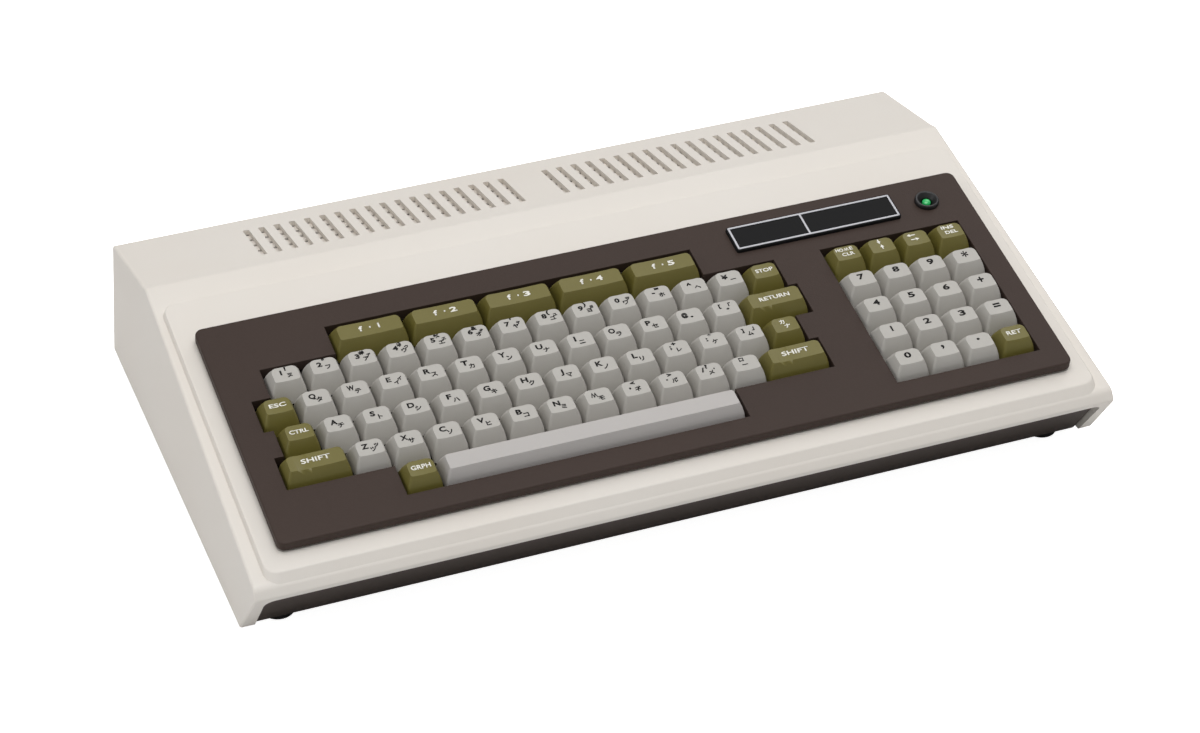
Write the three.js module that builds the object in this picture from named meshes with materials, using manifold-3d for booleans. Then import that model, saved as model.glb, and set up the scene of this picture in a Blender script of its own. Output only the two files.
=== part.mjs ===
// Vintage home computer with a built-in keyboard, one named mesh for each piece.
// Millimetres, +X to the right, +Y to the rear, +Z up; origin on the table under the middle.
import * as THREE from 'three';
import { mergeVertices } from 'three/addons/utils/BufferGeometryUtils.js';
import Module from 'manifold-3d';

const wasm = await Module();
wasm.setup();

// Overall size and the side profile of the case
const caseWidth = 430;
const caseDepth = 260;
const ridgeHeight = 80.1;
const sideClear = 4.5;          // the side walls stop this far above the table
const rearDrop = 14.5;          // from the ridge down to the top of the rear wall
const ridgeBack = 64.8;         // from the rear face to the ridge
const lipDepth = 5.4;           // small raised lip behind the ridge
const lipDrop = 1.8;
const noseDrop = 38.5;          // from the ridge down to the nose
const noseTopBack = 2.6;
const noseDepth = 7.1;
const toeBack = 23.3;           // the side walls cut back this far under the nose
const sideFlare = 6.6;          // each side wall leans in by this much up to the ridge
const coverWall = 3;
const sideWallFoot = 7.4;       // thickness of a side wall at its lower edge
const sideWallFlare = 2.2;
const seatGap = 0.3;            // clearance between pieces that touch
const overrun = 4;              // how far a cutting solid runs past what it cuts

const caseHalf = caseWidth / 2;
const rearFace = caseDepth / 2;
const noseFace = -caseDepth / 2;
const rearHeight = ridgeHeight - rearDrop;
const noseTopHeight = ridgeHeight - noseDrop;
const noseBottomHeight = noseTopHeight - noseDepth;
const ridgeY = rearFace - ridgeBack;
const noseTopY = noseFace + noseTopBack;
const deckTilt = Math.atan2(noseDrop, ridgeY - noseTopY);
const deckMiddle = ridgeHeight - ridgeY * Math.tan(deckTilt);
const innerHalfWidth = caseHalf - sideWallFoot;

// Raised panel on the sloping deck; places along the deck run from the nose to the ridge
const panelSideMargin = 12;
const panelNoseMargin = 2.1;
const panelRidgeMargin = 17.9;
const panelHeight = 3.4;
const panelChamfer = 2;
const panelCorner = 6;
const panelHalfWidth = caseHalf - panelSideMargin;
const panelFront = noseTopY / Math.cos(deckTilt) + panelNoseMargin;
const panelRear = ridgeY / Math.cos(deckTilt) - panelRidgeMargin;

// Keyboard bezel on the panel, and the opening below it
const bezelSideMargin = 8.3;
const bezelFrontMargin = 13.6;
const bezelRearMargin = 24.8;
const bezelTop = 9.3;           // above the deck
const bezelPlate = 2.5;
const bezelSkirt = 3;
const bezelFlare = 0.5;
const bezelCorner = 6;
const bezelEdge = 0.8;
const openingSideMargin = 7.1;
const openingFrontMargin = 5.8;
const openingRearMargin = 10.8;
const bezelHalfWidth = panelHalfWidth - bezelSideMargin;
const bezelFront = panelFront + bezelFrontMargin;
const bezelRear = panelRear - bezelRearMargin;
const openingHalfWidth = bezelHalfWidth - openingSideMargin;
const openingFront = bezelFront + openingFrontMargin;
const openingRear = bezelRear - openingRearMargin;

// Cooling slots in the rear deck
const slotsInGroup = 18;
const slotWidth = 3.2;
const slotFromMiddle = 11.8;
const slotSideMargin = 69.5;
const slotRearMargin = 15.5;
const slotRidgeMargin = 13.3;
const slotPitch = (caseHalf - slotSideMargin - slotFromMiddle) / (slotsInGroup - 1);
const slotFront = ridgeY + slotRidgeMargin;
const slotLength = rearFace - slotRearMargin - slotFront;
const ribCount = 4;
const ribGap = 2.1;
const ribTail = 4.6;            // open behind the last rib
const ribDepth = 2.4;
const ribDrop = 0.6;            // the ribs hang this far under the deck, on three ties a group
const ribPitch = (slotLength - ribTail) / ribCount;
const tieThickness = 2.4;

// Keyboard layout: the main block and the keypad share the opening's width, six rows its depth
const rowCount = 6;
const mainUnits = 14.75;
const keypadColumns = 4;
const keyLeftMargin = 4.97;
const keyRightMargin = 4.06;
const blockGap = 20.42;
const rowFrontMargin = 10.02;   // from the bezel's edge to the first row
const rowRearMargin = 17.34;
const keyPitch = (2 * openingHalfWidth - keyLeftMargin - keyRightMargin - blockGap)
  / (mainUnits + keypadColumns);
const rowPitch = (bezelRear - rowRearMargin - bezelFront - rowFrontMargin) / rowCount;
const leftUnits = -1.5;         // the main block's left edge, in pitches from the Q key
const qKeyX = -openingHalfWidth + keyLeftMargin - leftUnits * keyPitch;
const keypadX = openingHalfWidth - keyRightMargin - (keypadColumns - 1 / 2) * keyPitch;
const topRowAlong = bezelRear - rowRearMargin - rowPitch / 2;

// Key caps; leans, bulge and stem are shares of the cap or its switch
const keyTopLevel = 14.2;       // above the deck
const keyHeight = 11;
const keyClearance = 1.24;      // between the bases of two caps
const keySideLeanShare = 0.145;
const keyFrontLeanShare = 0.227;
const keyTopDepthShare = 0.64;
const spaceTopDepthShare = 0.378;
const keyCorner = 2.2;
const keyEdge = 0.6;
const keyBulgeShare = 0.032;
const keyDish = 0.5;
const keyWall = 1.4;
const shoulderShare = 1 - keyEdge / keyHeight;
const keyTravel = 3.5;
const wideUnits = 1.75;
const functionUnits = 2;
const spaceBarUnits = 8;
const spacePostUnits = 2.7;     // from the middle post of the space bar to the outer ones
const stemShare = 0.286;
const stemReach = 3.8;          // how far a stem stands in its switch at rest
const keyBaseLevel = keyTopLevel - keyHeight;
const keyBaseWidth = keyPitch - keyClearance;
const keyBaseDepth = rowPitch - keyClearance;
const wellSideGap = 1.8;
const wellEndGap = 2.2;

// Switches, the plate that holds them and the board below
const switchMargin = 4.44;      // between two switches
const capClear = 0.5;           // from a pressed cap to its switch
const stemClear = 1.7;          // below a pressed stem
const boreFloor = 1.6;
const plateThickness = 1.5;
const plateSideMargin = 4;
const plateFrontMargin = 9.8;
const plateRearMargin = 18.6;
const boardThickness = 1.6;
const boardOverhang = 14;
const switchTop = keyBaseLevel - keyTravel - capClear;
const switchBody = stemReach + keyTravel + stemClear + boreFloor;
const switchWidth = keyPitch - switchMargin;
const switchLength = rowPitch - switchMargin;
const plateHalfWidth = panelHalfWidth - plateSideMargin;
const plateFront = panelFront + plateFrontMargin;
const plateRear = panelRear - plateRearMargin;

// Badge plate and power lamp on the bezel
const lampSideMargin = 20.3;
const lampRearMargin = 17.6;
const lampX = bezelHalfWidth - lampSideMargin;
const lampAlong = bezelRear - lampRearMargin;
const lampRingRadius = 6.2;
const lampRingHeight = 2.2;
const lampMouthRadius = 4.6;
const lampBoreRadius = 2.8;
const lampTailWall = 0.6;
const lampTailDepth = 3;
const lampTailRadius = lampBoreRadius + lampTailWall;
const lampLensRadius = lampBoreRadius - seatGap;
const badgeLampGap = 16.9;
const badgeKeyGap = 21.83;
const badgeRearMargin = 16.75;
const badgeDepth = 16.9;
const badgeThickness = 1.5;
const badgeRim = 1.1;
const badgeCorner = 1.6;
const badgeRecess = 0.5;
const badgeDividerShare = 0.44;
const functionRowEnd = qKeyX + 11 * keyPitch;
const badgeLeft = functionRowEnd + badgeKeyGap;
const badgeWidth = lampX - badgeLampGap - badgeLeft;
const badgeX = badgeLeft + badgeWidth / 2;
const badgeAlong = bezelRear - badgeRearMargin;

// Bottom tray
const trayWall = 3;
const trayGap = 0.5;            // all round, inside the cover
const trayInset = 3;            // its front stands back from the side walls
const trayFrontDrop = 1.9;
const trayRise = 0.5;           // its floor stands this far above the cover's lower edge
const windowTop = 38;           // opening in the cover's rear wall, for the tray's rear panel
const windowSideMargin = 27;
const standRadius = 3.5;
const trayFloorHeight = sideClear + trayRise;
const floorTop = trayFloorHeight + trayWall;
const trayFrontTop = noseBottomHeight - trayFrontDrop;
const trayRearTop = windowTop - trayGap;
const trayRearFace = rearFace - coverWall - trayGap;
const trayInside = trayRearFace - trayWall;
const trayHalfWidth = innerHalfWidth - trayGap;
const windowHalfWidth = caseHalf - windowSideMargin;
const toeLean = toeBack / (noseBottomHeight - sideClear);
const frontShare = Math.hypot(1, toeLean);

// Feet
const footRadius = 7.5;
const footTaper = 1;
const footSideMargin = 23;
const footFrontMargin = 36;
const footRearMargin = 30;
const footX = caseHalf - footSideMargin;

// Power supply: base, transformer, fins and cans
const supplyWidth = 86;
const supplyDepth = 70;
const supplySideMargin = 11.1;
const supplyRearMargin = 19.5;
const supplyPlate = 2;
const coreWidth = 48;
const coreDepth = 40;
const coreHeight = 40;
const coilSwell = 8;
const coilHeightShare = 0.6;
const finCount = 6;
const finThickness = 2;
const finHeight = 26;
const canCount = 3;
const canRadius = 8;
const canHeight = 30;
const supplyRight = innerHalfWidth - supplySideMargin - trayGap;
const supplyLeft = supplyRight - supplyWidth;
const supplyRear = trayInside - supplyRearMargin;
const supplyFront = supplyRear - supplyDepth;

// Main board; its connectors share its rear edge with equal gaps
const boardSideMargin = 9.1;
const boardSupplyGap = 12;
const boardFrontMargin = 31.8;
const boardRearMargin = 6.5;
const boardLevel = 14;
const boardInset = 8;
const tongueLength = 3.5;
const slotHeight = 12;
const slotRise = 1;             // above the tray floor
const expansionWidth = 80;
const printerWidth = 50;
const socketCount = 2;
const socketPitch = 30;
const socketSize = 20;
const socketDepth = 13;
const socketRadius = 6.6;
const socketBoreDepth = 9;
const socketRise = 3;           // from the board to the lowest point of the bore
const chipHeight = 3.4;
const chipSunk = 0.6;
const chipGap = 9;
const chipDepth = 7;
const bigChipDepth = 15;
const boardLeft = -innerHalfWidth + boardSideMargin;
const boardRight = supplyLeft - boardSupplyGap;
const boardRear = trayInside - boardRearMargin;
const boardFront = noseFace + toeBack + (trayInset + trayWall) * frontShare + boardFrontMargin
  - (floorTop - sideClear) * toeLean;
const boardTop = boardLevel + boardThickness;
const standHeight = boardLevel - seatGap - floorTop;

// Reset button
const resetSize = 13;
const resetRadius = 3;
const resetLength = 6;
const resetCollar = 1.1;
const resetStemRadius = 1.5;
const resetStemLength = 7;
const resetTravel = 2;

// Places along the rear edge of the main board, with five equal gaps
const socketBlock = socketPitch * (socketCount - 1) + socketSize;
const connectorGap = (boardRight - boardLeft - expansionWidth - printerWidth - socketBlock - resetSize) / 5;
const expansionX = boardLeft + connectorGap + expansionWidth / 2;
const printerX = expansionX + expansionWidth / 2 + connectorGap + printerWidth / 2;
const socketLeft = printerX + printerWidth / 2 + connectorGap;
const resetX = socketLeft + socketBlock + connectorGap + resetSize / 2;
const socketAxis = boardTop + socketRise + socketRadius;
const resetHeight = boardTop + resetSize / 2;

// Power switch, carried by the tray's rear panel
const rockerSideMargin = 38;
const rockerRise = 15;          // above the tray floor
const rockerHalfWidth = 6;
const rockerHalfTall = 8.5;
const rockerSwing = 1.7;        // room above and below for its swing
const rockerDepth = 7;
const rockerDish = 1.2;
const rockerTilt = 0.14;
const rockerPinRadius = 1.4;
const rockerPinLength = 1.6;
const rockerGap = 0.6;
const rockerBoxWall = 2.4;
const rockerX = windowHalfWidth - rockerSideMargin;
const rockerHeight = floorTop + rockerRise;
const rockerAxisY = trayInside - rockerDepth / 2;

// Cord outlet
const glandSideMargin = 12;
const glandRise = 12;
const glandRadius = 4;
const glandCollar = 2.6;
const glandStand = 2.6;
const glandX = windowHalfWidth - glandSideMargin;
const glandHeight = floorTop + glandRise;

const materials = {
  cream: new THREE.MeshStandardMaterial({ color: 0xddd6cc, roughness: 0.55, metalness: 0 }),
  brown: new THREE.MeshStandardMaterial({ color: 0x463d3a, roughness: 0.75, metalness: 0 }),
  tray: new THREE.MeshStandardMaterial({ color: 0x3b3330, roughness: 0.7, metalness: 0 }),
  black: new THREE.MeshStandardMaterial({ color: 0x161616, roughness: 0.35, metalness: 0 }),
  keyGrey: new THREE.MeshStandardMaterial({ color: 0xbdbab4, roughness: 0.5, metalness: 0 }),
  keyGreen: new THREE.MeshStandardMaterial({ color: 0x7c7441, roughness: 0.5, metalness: 0 }),
  spaceGrey: new THREE.MeshStandardMaterial({ color: 0xa9a6a1, roughness: 0.5, metalness: 0 }),
  lamp: new THREE.MeshStandardMaterial({ color: 0x2fae6b, roughness: 0.2, metalness: 0 }),
  steel: new THREE.MeshStandardMaterial({ color: 0x8f9294, roughness: 0.4, metalness: 0.9 }),
  board: new THREE.MeshStandardMaterial({ color: 0x2c5a3c, roughness: 0.5, metalness: 0 }),
  rubber: new THREE.MeshStandardMaterial({ color: 0x111111, roughness: 0.9, metalness: 0 }),
};

const deckFrame = new THREE.Matrix4().makeRotationX(deckTilt).setPosition(0, 0, deckMiddle);

// Solid from a closed geometry, and a geometry back from a solid
function toSolid(geometry, matrix) {
  const bare = geometry.clone();
  bare.deleteAttribute('normal');
  bare.deleteAttribute('uv');
  if (matrix) bare.applyMatrix4(matrix);
  const merged = mergeVertices(bare);
  return new wasm.Manifold(new wasm.Mesh({
    numProp: 3,
    vertProperties: Float32Array.from(merged.attributes.position.array),
    triVerts: Uint32Array.from(merged.index.array),
  }));
}

function toGeometry(solid) {
  const mesh = solid.getMesh();
  const geometry = new THREE.BufferGeometry();
  geometry.setAttribute('position', new THREE.BufferAttribute(Float32Array.from(mesh.vertProperties), 3));
  geometry.setIndex(new THREE.BufferAttribute(Uint32Array.from(mesh.triVerts), 1));
  return geometry;
}

function addAll(first, others) {
  return others.reduce((sum, solid) => sum.add(solid), first);
}

function cutAll(first, others) {
  return others.reduce((rest, solid) => rest.subtract(solid), first);
}

// Box between two corners
function boxBetween(x0, x1, y0, y1, z0, z1) {
  const box = new THREE.BoxGeometry(x1 - x0, y1 - y0, z1 - z0);
  return box.translate((x0 + x1) / 2, (y0 + y1) / 2, (z0 + z1) / 2);
}

// Round bar along Z, Y or X from one end to the other
function barZ(radius, endRadius, x, y, z0, z1, sides) {
  const bar = new THREE.CylinderGeometry(endRadius, radius, z1 - z0, sides);
  return bar.rotateX(Math.PI / 2).translate(x, y, (z0 + z1) / 2);
}

function barY(radius, x, y0, y1, z, sides) {
  return new THREE.CylinderGeometry(radius, radius, y1 - y0, sides).translate(x, (y0 + y1) / 2, z);
}

function barX(radius, x0, x1, y, z, sides) {
  const bar = new THREE.CylinderGeometry(radius, radius, x1 - x0, sides);
  return bar.rotateZ(Math.PI / 2).translate((x0 + x1) / 2, y, z);
}

// Convex profile in Y and Z with each edge moved in by its own distance
function insetProfile(points, distances) {
  const lines = points.map((point, i) => {
    const next = points[(i + 1) % points.length];
    const along = next.clone().sub(point).normalize();
    const inward = new THREE.Vector2(-along.y, along.x);
    return { from: point.clone().addScaledVector(inward, distances[i]), along };
  });
  return lines.map((line, i) => {
    const before = lines[(i + lines.length - 1) % lines.length];
    const gap = line.from.clone().sub(before.from);
    const turn = before.along.cross(line.along);
    return before.from.clone().addScaledVector(before.along, gap.cross(line.along) / turn);
  });
}

// Profile run across the machine; the half width shrinks by flare over the ridge's height
function acrossCase(profile, halfWidth, flare) {
  const prism = new THREE.ExtrudeGeometry(new THREE.Shape(profile), { depth: 1, bevelEnabled: false });
  const place = prism.attributes.position;
  for (let i = 0; i < place.count; i += 1) {
    const side = place.getZ(i) > 0 ? 1 : -1;
    const height = place.getY(i);
    place.setXYZ(i, side * (halfWidth - flare * height / ridgeHeight), place.getX(i), height);
  }
  return toSolid(prism);
}

// Ring of points round a rectangle with cut or rounded corners
function cornerRing(halfX, halfY, corner, middleY, level, steps) {
  const ring = [];
  const quarters = [[1, 1], [-1, 1], [-1, -1], [1, -1]];
  quarters.forEach(([signX, signY], quarter) => {
    for (let step = 0; step <= steps; step += 1) {
      const angle = (quarter + step / steps) * Math.PI / 2;
      const x = signX * (halfX - corner) + corner * Math.cos(angle);
      const y = middleY + signY * (halfY - corner) + corner * Math.sin(angle);
      ring.push(new THREE.Vector3(x, y, level));
    }
  });
  return ring;
}

// Closed skin over a stack of rings, each end closed on its own middle point
function loft(rings, bottomMiddle, topMiddle) {
  const count = rings[0].length;
  const points = rings.flat().concat([bottomMiddle, topMiddle]);
  const low = rings.length * count;
  const index = [];
  for (let ring = 0; ring < rings.length - 1; ring += 1) {
    for (let i = 0; i < count; i += 1) {
      const a = ring * count + i;
      const b = ring * count + (i + 1) % count;
      index.push(a, b, b + count, a, b + count, a + count);
    }
  }
  const last = (rings.length - 1) * count;
  for (let i = 0; i < count; i += 1) {
    const next = (i + 1) % count;
    index.push(low, next, i, low + 1, last + i, last + next);
  }
  const geometry = new THREE.BufferGeometry().setFromPoints(points);
  geometry.setIndex(index);
  return geometry;
}

// Flat-ended block with rounded corners, in or out by lean between its ends
function roundBlock(halfX, front, rear, corner, low, high, lean, steps) {
  const middle = (front + rear) / 2;
  const halfY = (rear - front) / 2;
  const lower = cornerRing(halfX + lean, halfY + lean, corner + lean, middle, low, steps);
  const upper = cornerRing(halfX, halfY, corner, middle, high, steps);
  const end = (level) => new THREE.Vector3(0, middle, level);
  return loft([lower, upper], end(low), end(high));
}

function along(row) {
  return topRowAlong - row * rowPitch;
}

function mainX(pitches) {
  return qKeyX + pitches * keyPitch;
}

function keypadColumnX(column) {
  return keypadX + column * keyPitch;
}

// One key: a tapered cap, hollow below, with a square stem that runs down into its switch
function capShell(units, topDepthShare, levels) {
  const halfWidth = (units * keyPitch - keyClearance) / 2;
  const halfDepth = keyBaseDepth / 2;
  const sideLean = keyBaseWidth * keySideLeanShare;
  const frontLean = keyBaseDepth * keyFrontLeanShare;
  const topDepth = keyBaseDepth * topDepthShare;
  const backLean = keyBaseDepth - frontLean - topDepth;
  const rings = levels.map((share) => {
    const swell = keyHeight * keyBulgeShare * 4 * share * (1 - share);
    const halfX = halfWidth - sideLean * share + swell;
    const front = -halfDepth + frontLean * share - swell;
    const back = halfDepth - backLean * share + swell;
    return cornerRing(halfX, (back - front) / 2, keyCorner, (front + back) / 2, share * keyHeight, 1);
  });
  const topMiddle = (frontLean - backLean) / 2;
  const topHalfX = halfWidth - sideLean;
  const corner = keyCorner - keyEdge;
  rings.push(cornerRing(topHalfX - keyEdge, topDepth / 2 - keyEdge, corner, topMiddle, keyHeight, 1));
  const low = new THREE.Vector3(0, 0, 0);
  const high = new THREE.Vector3(0, topMiddle, keyHeight - keyDish);
  return { solid: toSolid(loft(rings, low, high)), topMiddle, topHalfX, topDepth, halfWidth };
}

function keyCap(units, topDepthShare, postOffsets) {
  const shell = capShell(units, topDepthShare, [0, 1 / 2, shoulderShare]);
  const roof = keyHeight - keyWall - keyDish;
  const corner = keyEdge;
  const lower = cornerRing(shell.halfWidth - keyWall, keyBaseDepth / 2 - keyWall, corner, 0, 0, 1);
  const upperHalfX = shell.topHalfX - keyWall;
  const upperHalfY = shell.topDepth / 2 - keyWall;
  const upper = cornerRing(upperHalfX, upperHalfY, corner, shell.topMiddle, roof, 1);
  const below = lower.map((point) => point.clone().setZ(-overrun));
  const low = new THREE.Vector3(0, 0, -overrun);
  const high = new THREE.Vector3(0, shell.topMiddle, roof);
  const hollow = toSolid(loft([below, lower, upper], low, high));
  const stemEnd = switchTop - stemReach - keyBaseLevel;
  const halfX = switchWidth * stemShare / 2;
  const halfY = switchLength * stemShare / 2;
  const stems = postOffsets.map((x) => toSolid(
    boxBetween(x - halfX, x + halfX, -halfY, halfY, stemEnd, roof + keyWall / 2),
  ));
  return toGeometry(addAll(shell.solid.subtract(hollow), stems));
}

// The four typing rows whose keys travel: name, middle in key pitches, width in key pitches
const lettersFrom = (names, first) => names.map((name, i) => [name, first + i, 1]);
const homeNames = ['a', 's', 'd', 'f', 'g', 'h', 'j', 'k', 'l', 'semicolon', 'colon', 'bracket_close'];
const movingRows = [
  [2, [
    ['escape', -1, 1],
    ...lettersFrom(['q', 'w', 'e', 'r', 't', 'y', 'u', 'i', 'o', 'p', 'at', 'bracket_open'], 0),
    ['return', 12.375, wideUnits],
  ]],
  [3, [
    ['control', -0.75, 1],
    ...lettersFrom(homeNames, 0.25),
    ['kana', 12.25, 1],
  ]],
  [4, [
    ['shift_left', -0.625, wideUnits],
    ...lettersFrom(['z', 'x', 'c', 'v', 'b', 'n', 'm', 'comma', 'period', 'slash', 'underscore'], 0.75),
    ['shift_right', 12.125, wideUnits],
  ]],
  [5, [
    ['graph', 1.75, 1],
    ['space', 6.25, spaceBarUnits],
  ]],
];
const greenKeys = ['escape', 'return', 'control', 'kana', 'shift_left', 'shift_right', 'graph'];

// The keys that stay with the plate: row, place and width, in the same measure
const functionKeys = 5;
const numberKeys = 14;
const fixedKeys = [];
for (let i = 0; i < functionKeys; i += 1) fixedKeys.push([0, mainX((i + 1) * functionUnits), functionUnits]);
for (let i = 0; i < numberKeys; i += 1) fixedKeys.push([1, mainX(i - 1 / 2), 1]);
for (let row = 1; row < rowCount; row += 1) {
  for (let column = 0; column < keypadColumns; column += 1) fixedKeys.push([row, keypadColumnX(column), 1]);
}

function postsOf(name) {
  return name === 'space' ? [-spacePostUnits * keyPitch, 0, spacePostUnits * keyPitch] : [0];
}

// Key wells of the bezel: row, and its two ends in key pitches
const mainWells = [
  [0, 1, 11],
  [1, -1, 13],
  [2, leftUnits, 13.25],
  [3, -1.25, 12.75],
  [4, leftUnits, 13],
  [5, 1.25, 10.25],
];

// Outer profile of the case in Y and Z, anticlockwise from the toe of the side wall
const caseProfile = [
  new THREE.Vector2(noseFace + toeBack, sideClear),
  new THREE.Vector2(rearFace, sideClear),
  new THREE.Vector2(rearFace, rearHeight),
  new THREE.Vector2(ridgeY + lipDepth, ridgeHeight - lipDrop),
  new THREE.Vector2(ridgeY, ridgeHeight),
  new THREE.Vector2(noseTopY, noseTopHeight),
  new THREE.Vector2(noseFace, noseBottomHeight),
];

function topCover() {
  const outer = acrossCase(caseProfile, caseHalf, sideFlare);
  const walls = [-overrun, coverWall, coverWall, coverWall, coverWall, coverWall, -overrun];
  const inner = acrossCase(insetProfile(caseProfile, walls), innerHalfWidth, sideWallFlare);
  const panelLow = -coverWall / 2;
  const panelLean = panelChamfer * (panelHeight - panelLow) / panelHeight;
  const panel = toSolid(
    roundBlock(panelHalfWidth, panelFront, panelRear, panelCorner, panelLow, panelHeight, panelLean, 3),
    deckFrame,
  );
  const opening = toSolid(boxBetween(
    -openingHalfWidth, openingHalfWidth, openingFront, openingRear,
    -coverWall - overrun, panelHeight + overrun,
  ), deckFrame);
  const window = toSolid(boxBetween(
    -windowHalfWidth, windowHalfWidth, rearFace - coverWall - overrun / 2, rearFace + overrun,
    -overrun, windowTop,
  ));
  const slots = [];
  for (let i = 0; i < slotsInGroup; i += 1) {
    [-1, 1].forEach((side) => {
      const x = side * (slotFromMiddle + i * slotPitch);
      slots.push(toSolid(boxBetween(
        x - slotWidth / 2, x + slotWidth / 2, slotFront, slotFront + slotLength,
        windowTop, ridgeHeight,
      )));
    });
  }
  const rearSlope = (ridgeHeight - lipDrop - rearHeight) / (rearFace - ridgeY - lipDepth);
  const underside = (y) => rearHeight + (rearFace - y) * rearSlope - coverWall;
  const slat = (left, right, near, far, drop, depth) => {
    const shape = new THREE.Shape([
      new THREE.Vector2(near, underside(near) - drop - depth),
      new THREE.Vector2(far, underside(far) - drop - depth),
      new THREE.Vector2(far, underside(far) - drop),
      new THREE.Vector2(near, underside(near) - drop),
    ]);
    const bar = new THREE.ExtrudeGeometry(shape, { depth: right - left, bevelEnabled: false });
    return toSolid(bar, new THREE.Matrix4().makeBasis(
      new THREE.Vector3(0, 1, 0), new THREE.Vector3(0, 0, 1), new THREE.Vector3(1, 0, 0),
    ).setPosition(left, 0, 0));
  };
  const ribs = [];
  [-1, 1].forEach((side) => {
    const ends = [-1 / 2, slotsInGroup / 2 - 1 / 2, slotsInGroup - 1 / 2];
    const tieX = ends.map((slot) => side * (slotFromMiddle + slot * slotPitch));
    const edge = tieThickness / 2;
    for (let i = 0; i < ribCount; i += 1) {
      const near = slotFront + ribGap + i * ribPitch;
      ribs.push(slat(
        Math.min(...tieX) - edge, Math.max(...tieX) + edge, near, near + ribPitch - ribGap, ribDrop, ribDepth,
      ));
    }
    tieX.forEach((x) => {
      ribs.push(slat(
        x - edge, x + edge, slotFront, slotFront + slotLength, -seatGap, seatGap + ribDrop + ribDepth / 2,
      ));
    });
  });
  const shell = cutAll(outer.subtract(inner).add(panel), [opening, window, ...slots]);
  return toGeometry(addAll(shell, ribs));
}

function keyboardBezel() {
  const edgeLevel = bezelTop - bezelEdge;
  const low = panelHeight + seatGap;
  const middle = (bezelFront + bezelRear) / 2;
  const halfY = (bezelRear - bezelFront) / 2;
  const rings = [
    cornerRing(bezelHalfWidth + bezelFlare, halfY + bezelFlare, bezelCorner, middle, low, 3),
    cornerRing(bezelHalfWidth, halfY, bezelCorner, middle, edgeLevel, 3),
    cornerRing(bezelHalfWidth - bezelEdge, halfY - bezelEdge, bezelCorner - bezelEdge, middle, bezelTop, 3),
  ];
  const end = (level) => new THREE.Vector3(0, middle, level);
  const outer = toSolid(loft(rings, end(low), end(bezelTop)));
  const pocket = toSolid(boxBetween(
    -bezelHalfWidth + bezelSkirt, bezelHalfWidth - bezelSkirt,
    bezelFront + bezelSkirt, bezelRear - bezelSkirt, low - overrun, bezelTop - bezelPlate,
  ));
  const margin = keyClearance / 2 - wellSideGap;
  const endReach = keyBaseDepth / 2 + wellEndGap;
  const well = (rowNear, rowFar, left, right) => toSolid(boxBetween(
    left + margin, right - margin, along(rowFar) - endReach, along(rowNear) + endReach,
    low, bezelTop + overrun,
  ));
  const cuts = mainWells.map(([row, left, right]) => well(row, row, mainX(left), mainX(right)));
  const keypadEnd = keypadColumns - 1 / 2;
  cuts.push(well(1, rowCount - 1, keypadColumnX(-1 / 2), keypadColumnX(keypadEnd)));
  cuts.push(toSolid(barZ(
    lampTailRadius + seatGap, lampTailRadius + seatGap, lampX, lampAlong, low, bezelTop + overrun, 12,
  )));
  return toGeometry(cutAll(outer, [pocket, ...cuts]));
}

// Plate with a switch under every key; the keys of the fixed groups stand on theirs
function switchPlate() {
  const top = -coverWall - seatGap;
  const plate = toSolid(boxBetween(
    -plateHalfWidth, plateHalfWidth, plateFront, plateRear, top - plateThickness, top,
  ));
  const halfX = switchWidth / 2;
  const halfY = switchLength / 2;
  const housing = (x, y) => toSolid(boxBetween(
    x - halfX, x + halfX, y - halfY, y + halfY, switchTop - switchBody, switchTop,
  ));
  const neckX = switchWidth * stemShare;
  const neckY = switchLength * stemShare;
  const boreX = neckX / 2 + seatGap;
  const boreY = neckY / 2 + seatGap;
  const capSolids = new Map([1, functionUnits].map((units) => (
    [units, capShell(units, keyTopDepthShare, [0, shoulderShare]).solid]
  )));
  const solids = [plate];
  fixedKeys.forEach(([row, x, units]) => {
    const y = along(row);
    const neck = boxBetween(
      x - neckX, x + neckX, y - neckY, y + neckY, switchTop - seatGap, keyBaseLevel + seatGap,
    );
    solids.push(housing(x, y), toSolid(neck), capSolids.get(units).translate([x, y, keyBaseLevel]));
  });
  const bores = [];
  movingRows.forEach(([row, keys]) => keys.forEach(([name, place]) => {
    postsOf(name).forEach((offset) => {
      const x = mainX(place) + offset;
      const y = along(row);
      solids.push(housing(x, y));
      bores.push(toSolid(boxBetween(
        x - boreX, x + boreX, y - boreY, y + boreY,
        switchTop - switchBody + boreFloor, switchTop + overrun,
      )));
    });
  }));
  return toGeometry(wasm.Manifold.union(solids).subtract(wasm.Manifold.union(bores)));
}

function keyboardBoard() {
  const top = switchTop - switchBody - seatGap;
  const left = mainX(leftUnits) - switchMargin;
  const right = keypadColumnX(keypadColumns) - switchMargin;
  const front = along(rowCount - 1) - boardOverhang;
  return boxBetween(left, right, front, along(0) + boardOverhang, top - boardThickness, top);
}

function badgePlate() {
  const low = bezelTop + seatGap;
  const high = bezelTop + badgeThickness;
  const halfX = badgeWidth / 2;
  const halfY = badgeDepth / 2;
  const block = toSolid(roundBlock(halfX, -halfY, halfY, badgeCorner, low, high, seatGap, 2));
  const divider = -halfX + badgeWidth * badgeDividerShare;
  const field = (left, right) => toSolid(boxBetween(
    left, right, -halfY + badgeRim, halfY - badgeRim, high - badgeRecess, high + overrun,
  ));
  const fields = [
    field(-halfX + badgeRim, divider - badgeRim / 2),
    field(divider + badgeRim / 2, halfX - badgeRim),
  ];
  return toGeometry(cutAll(block, fields)).translate(badgeX, badgeAlong, 0);
}

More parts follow.
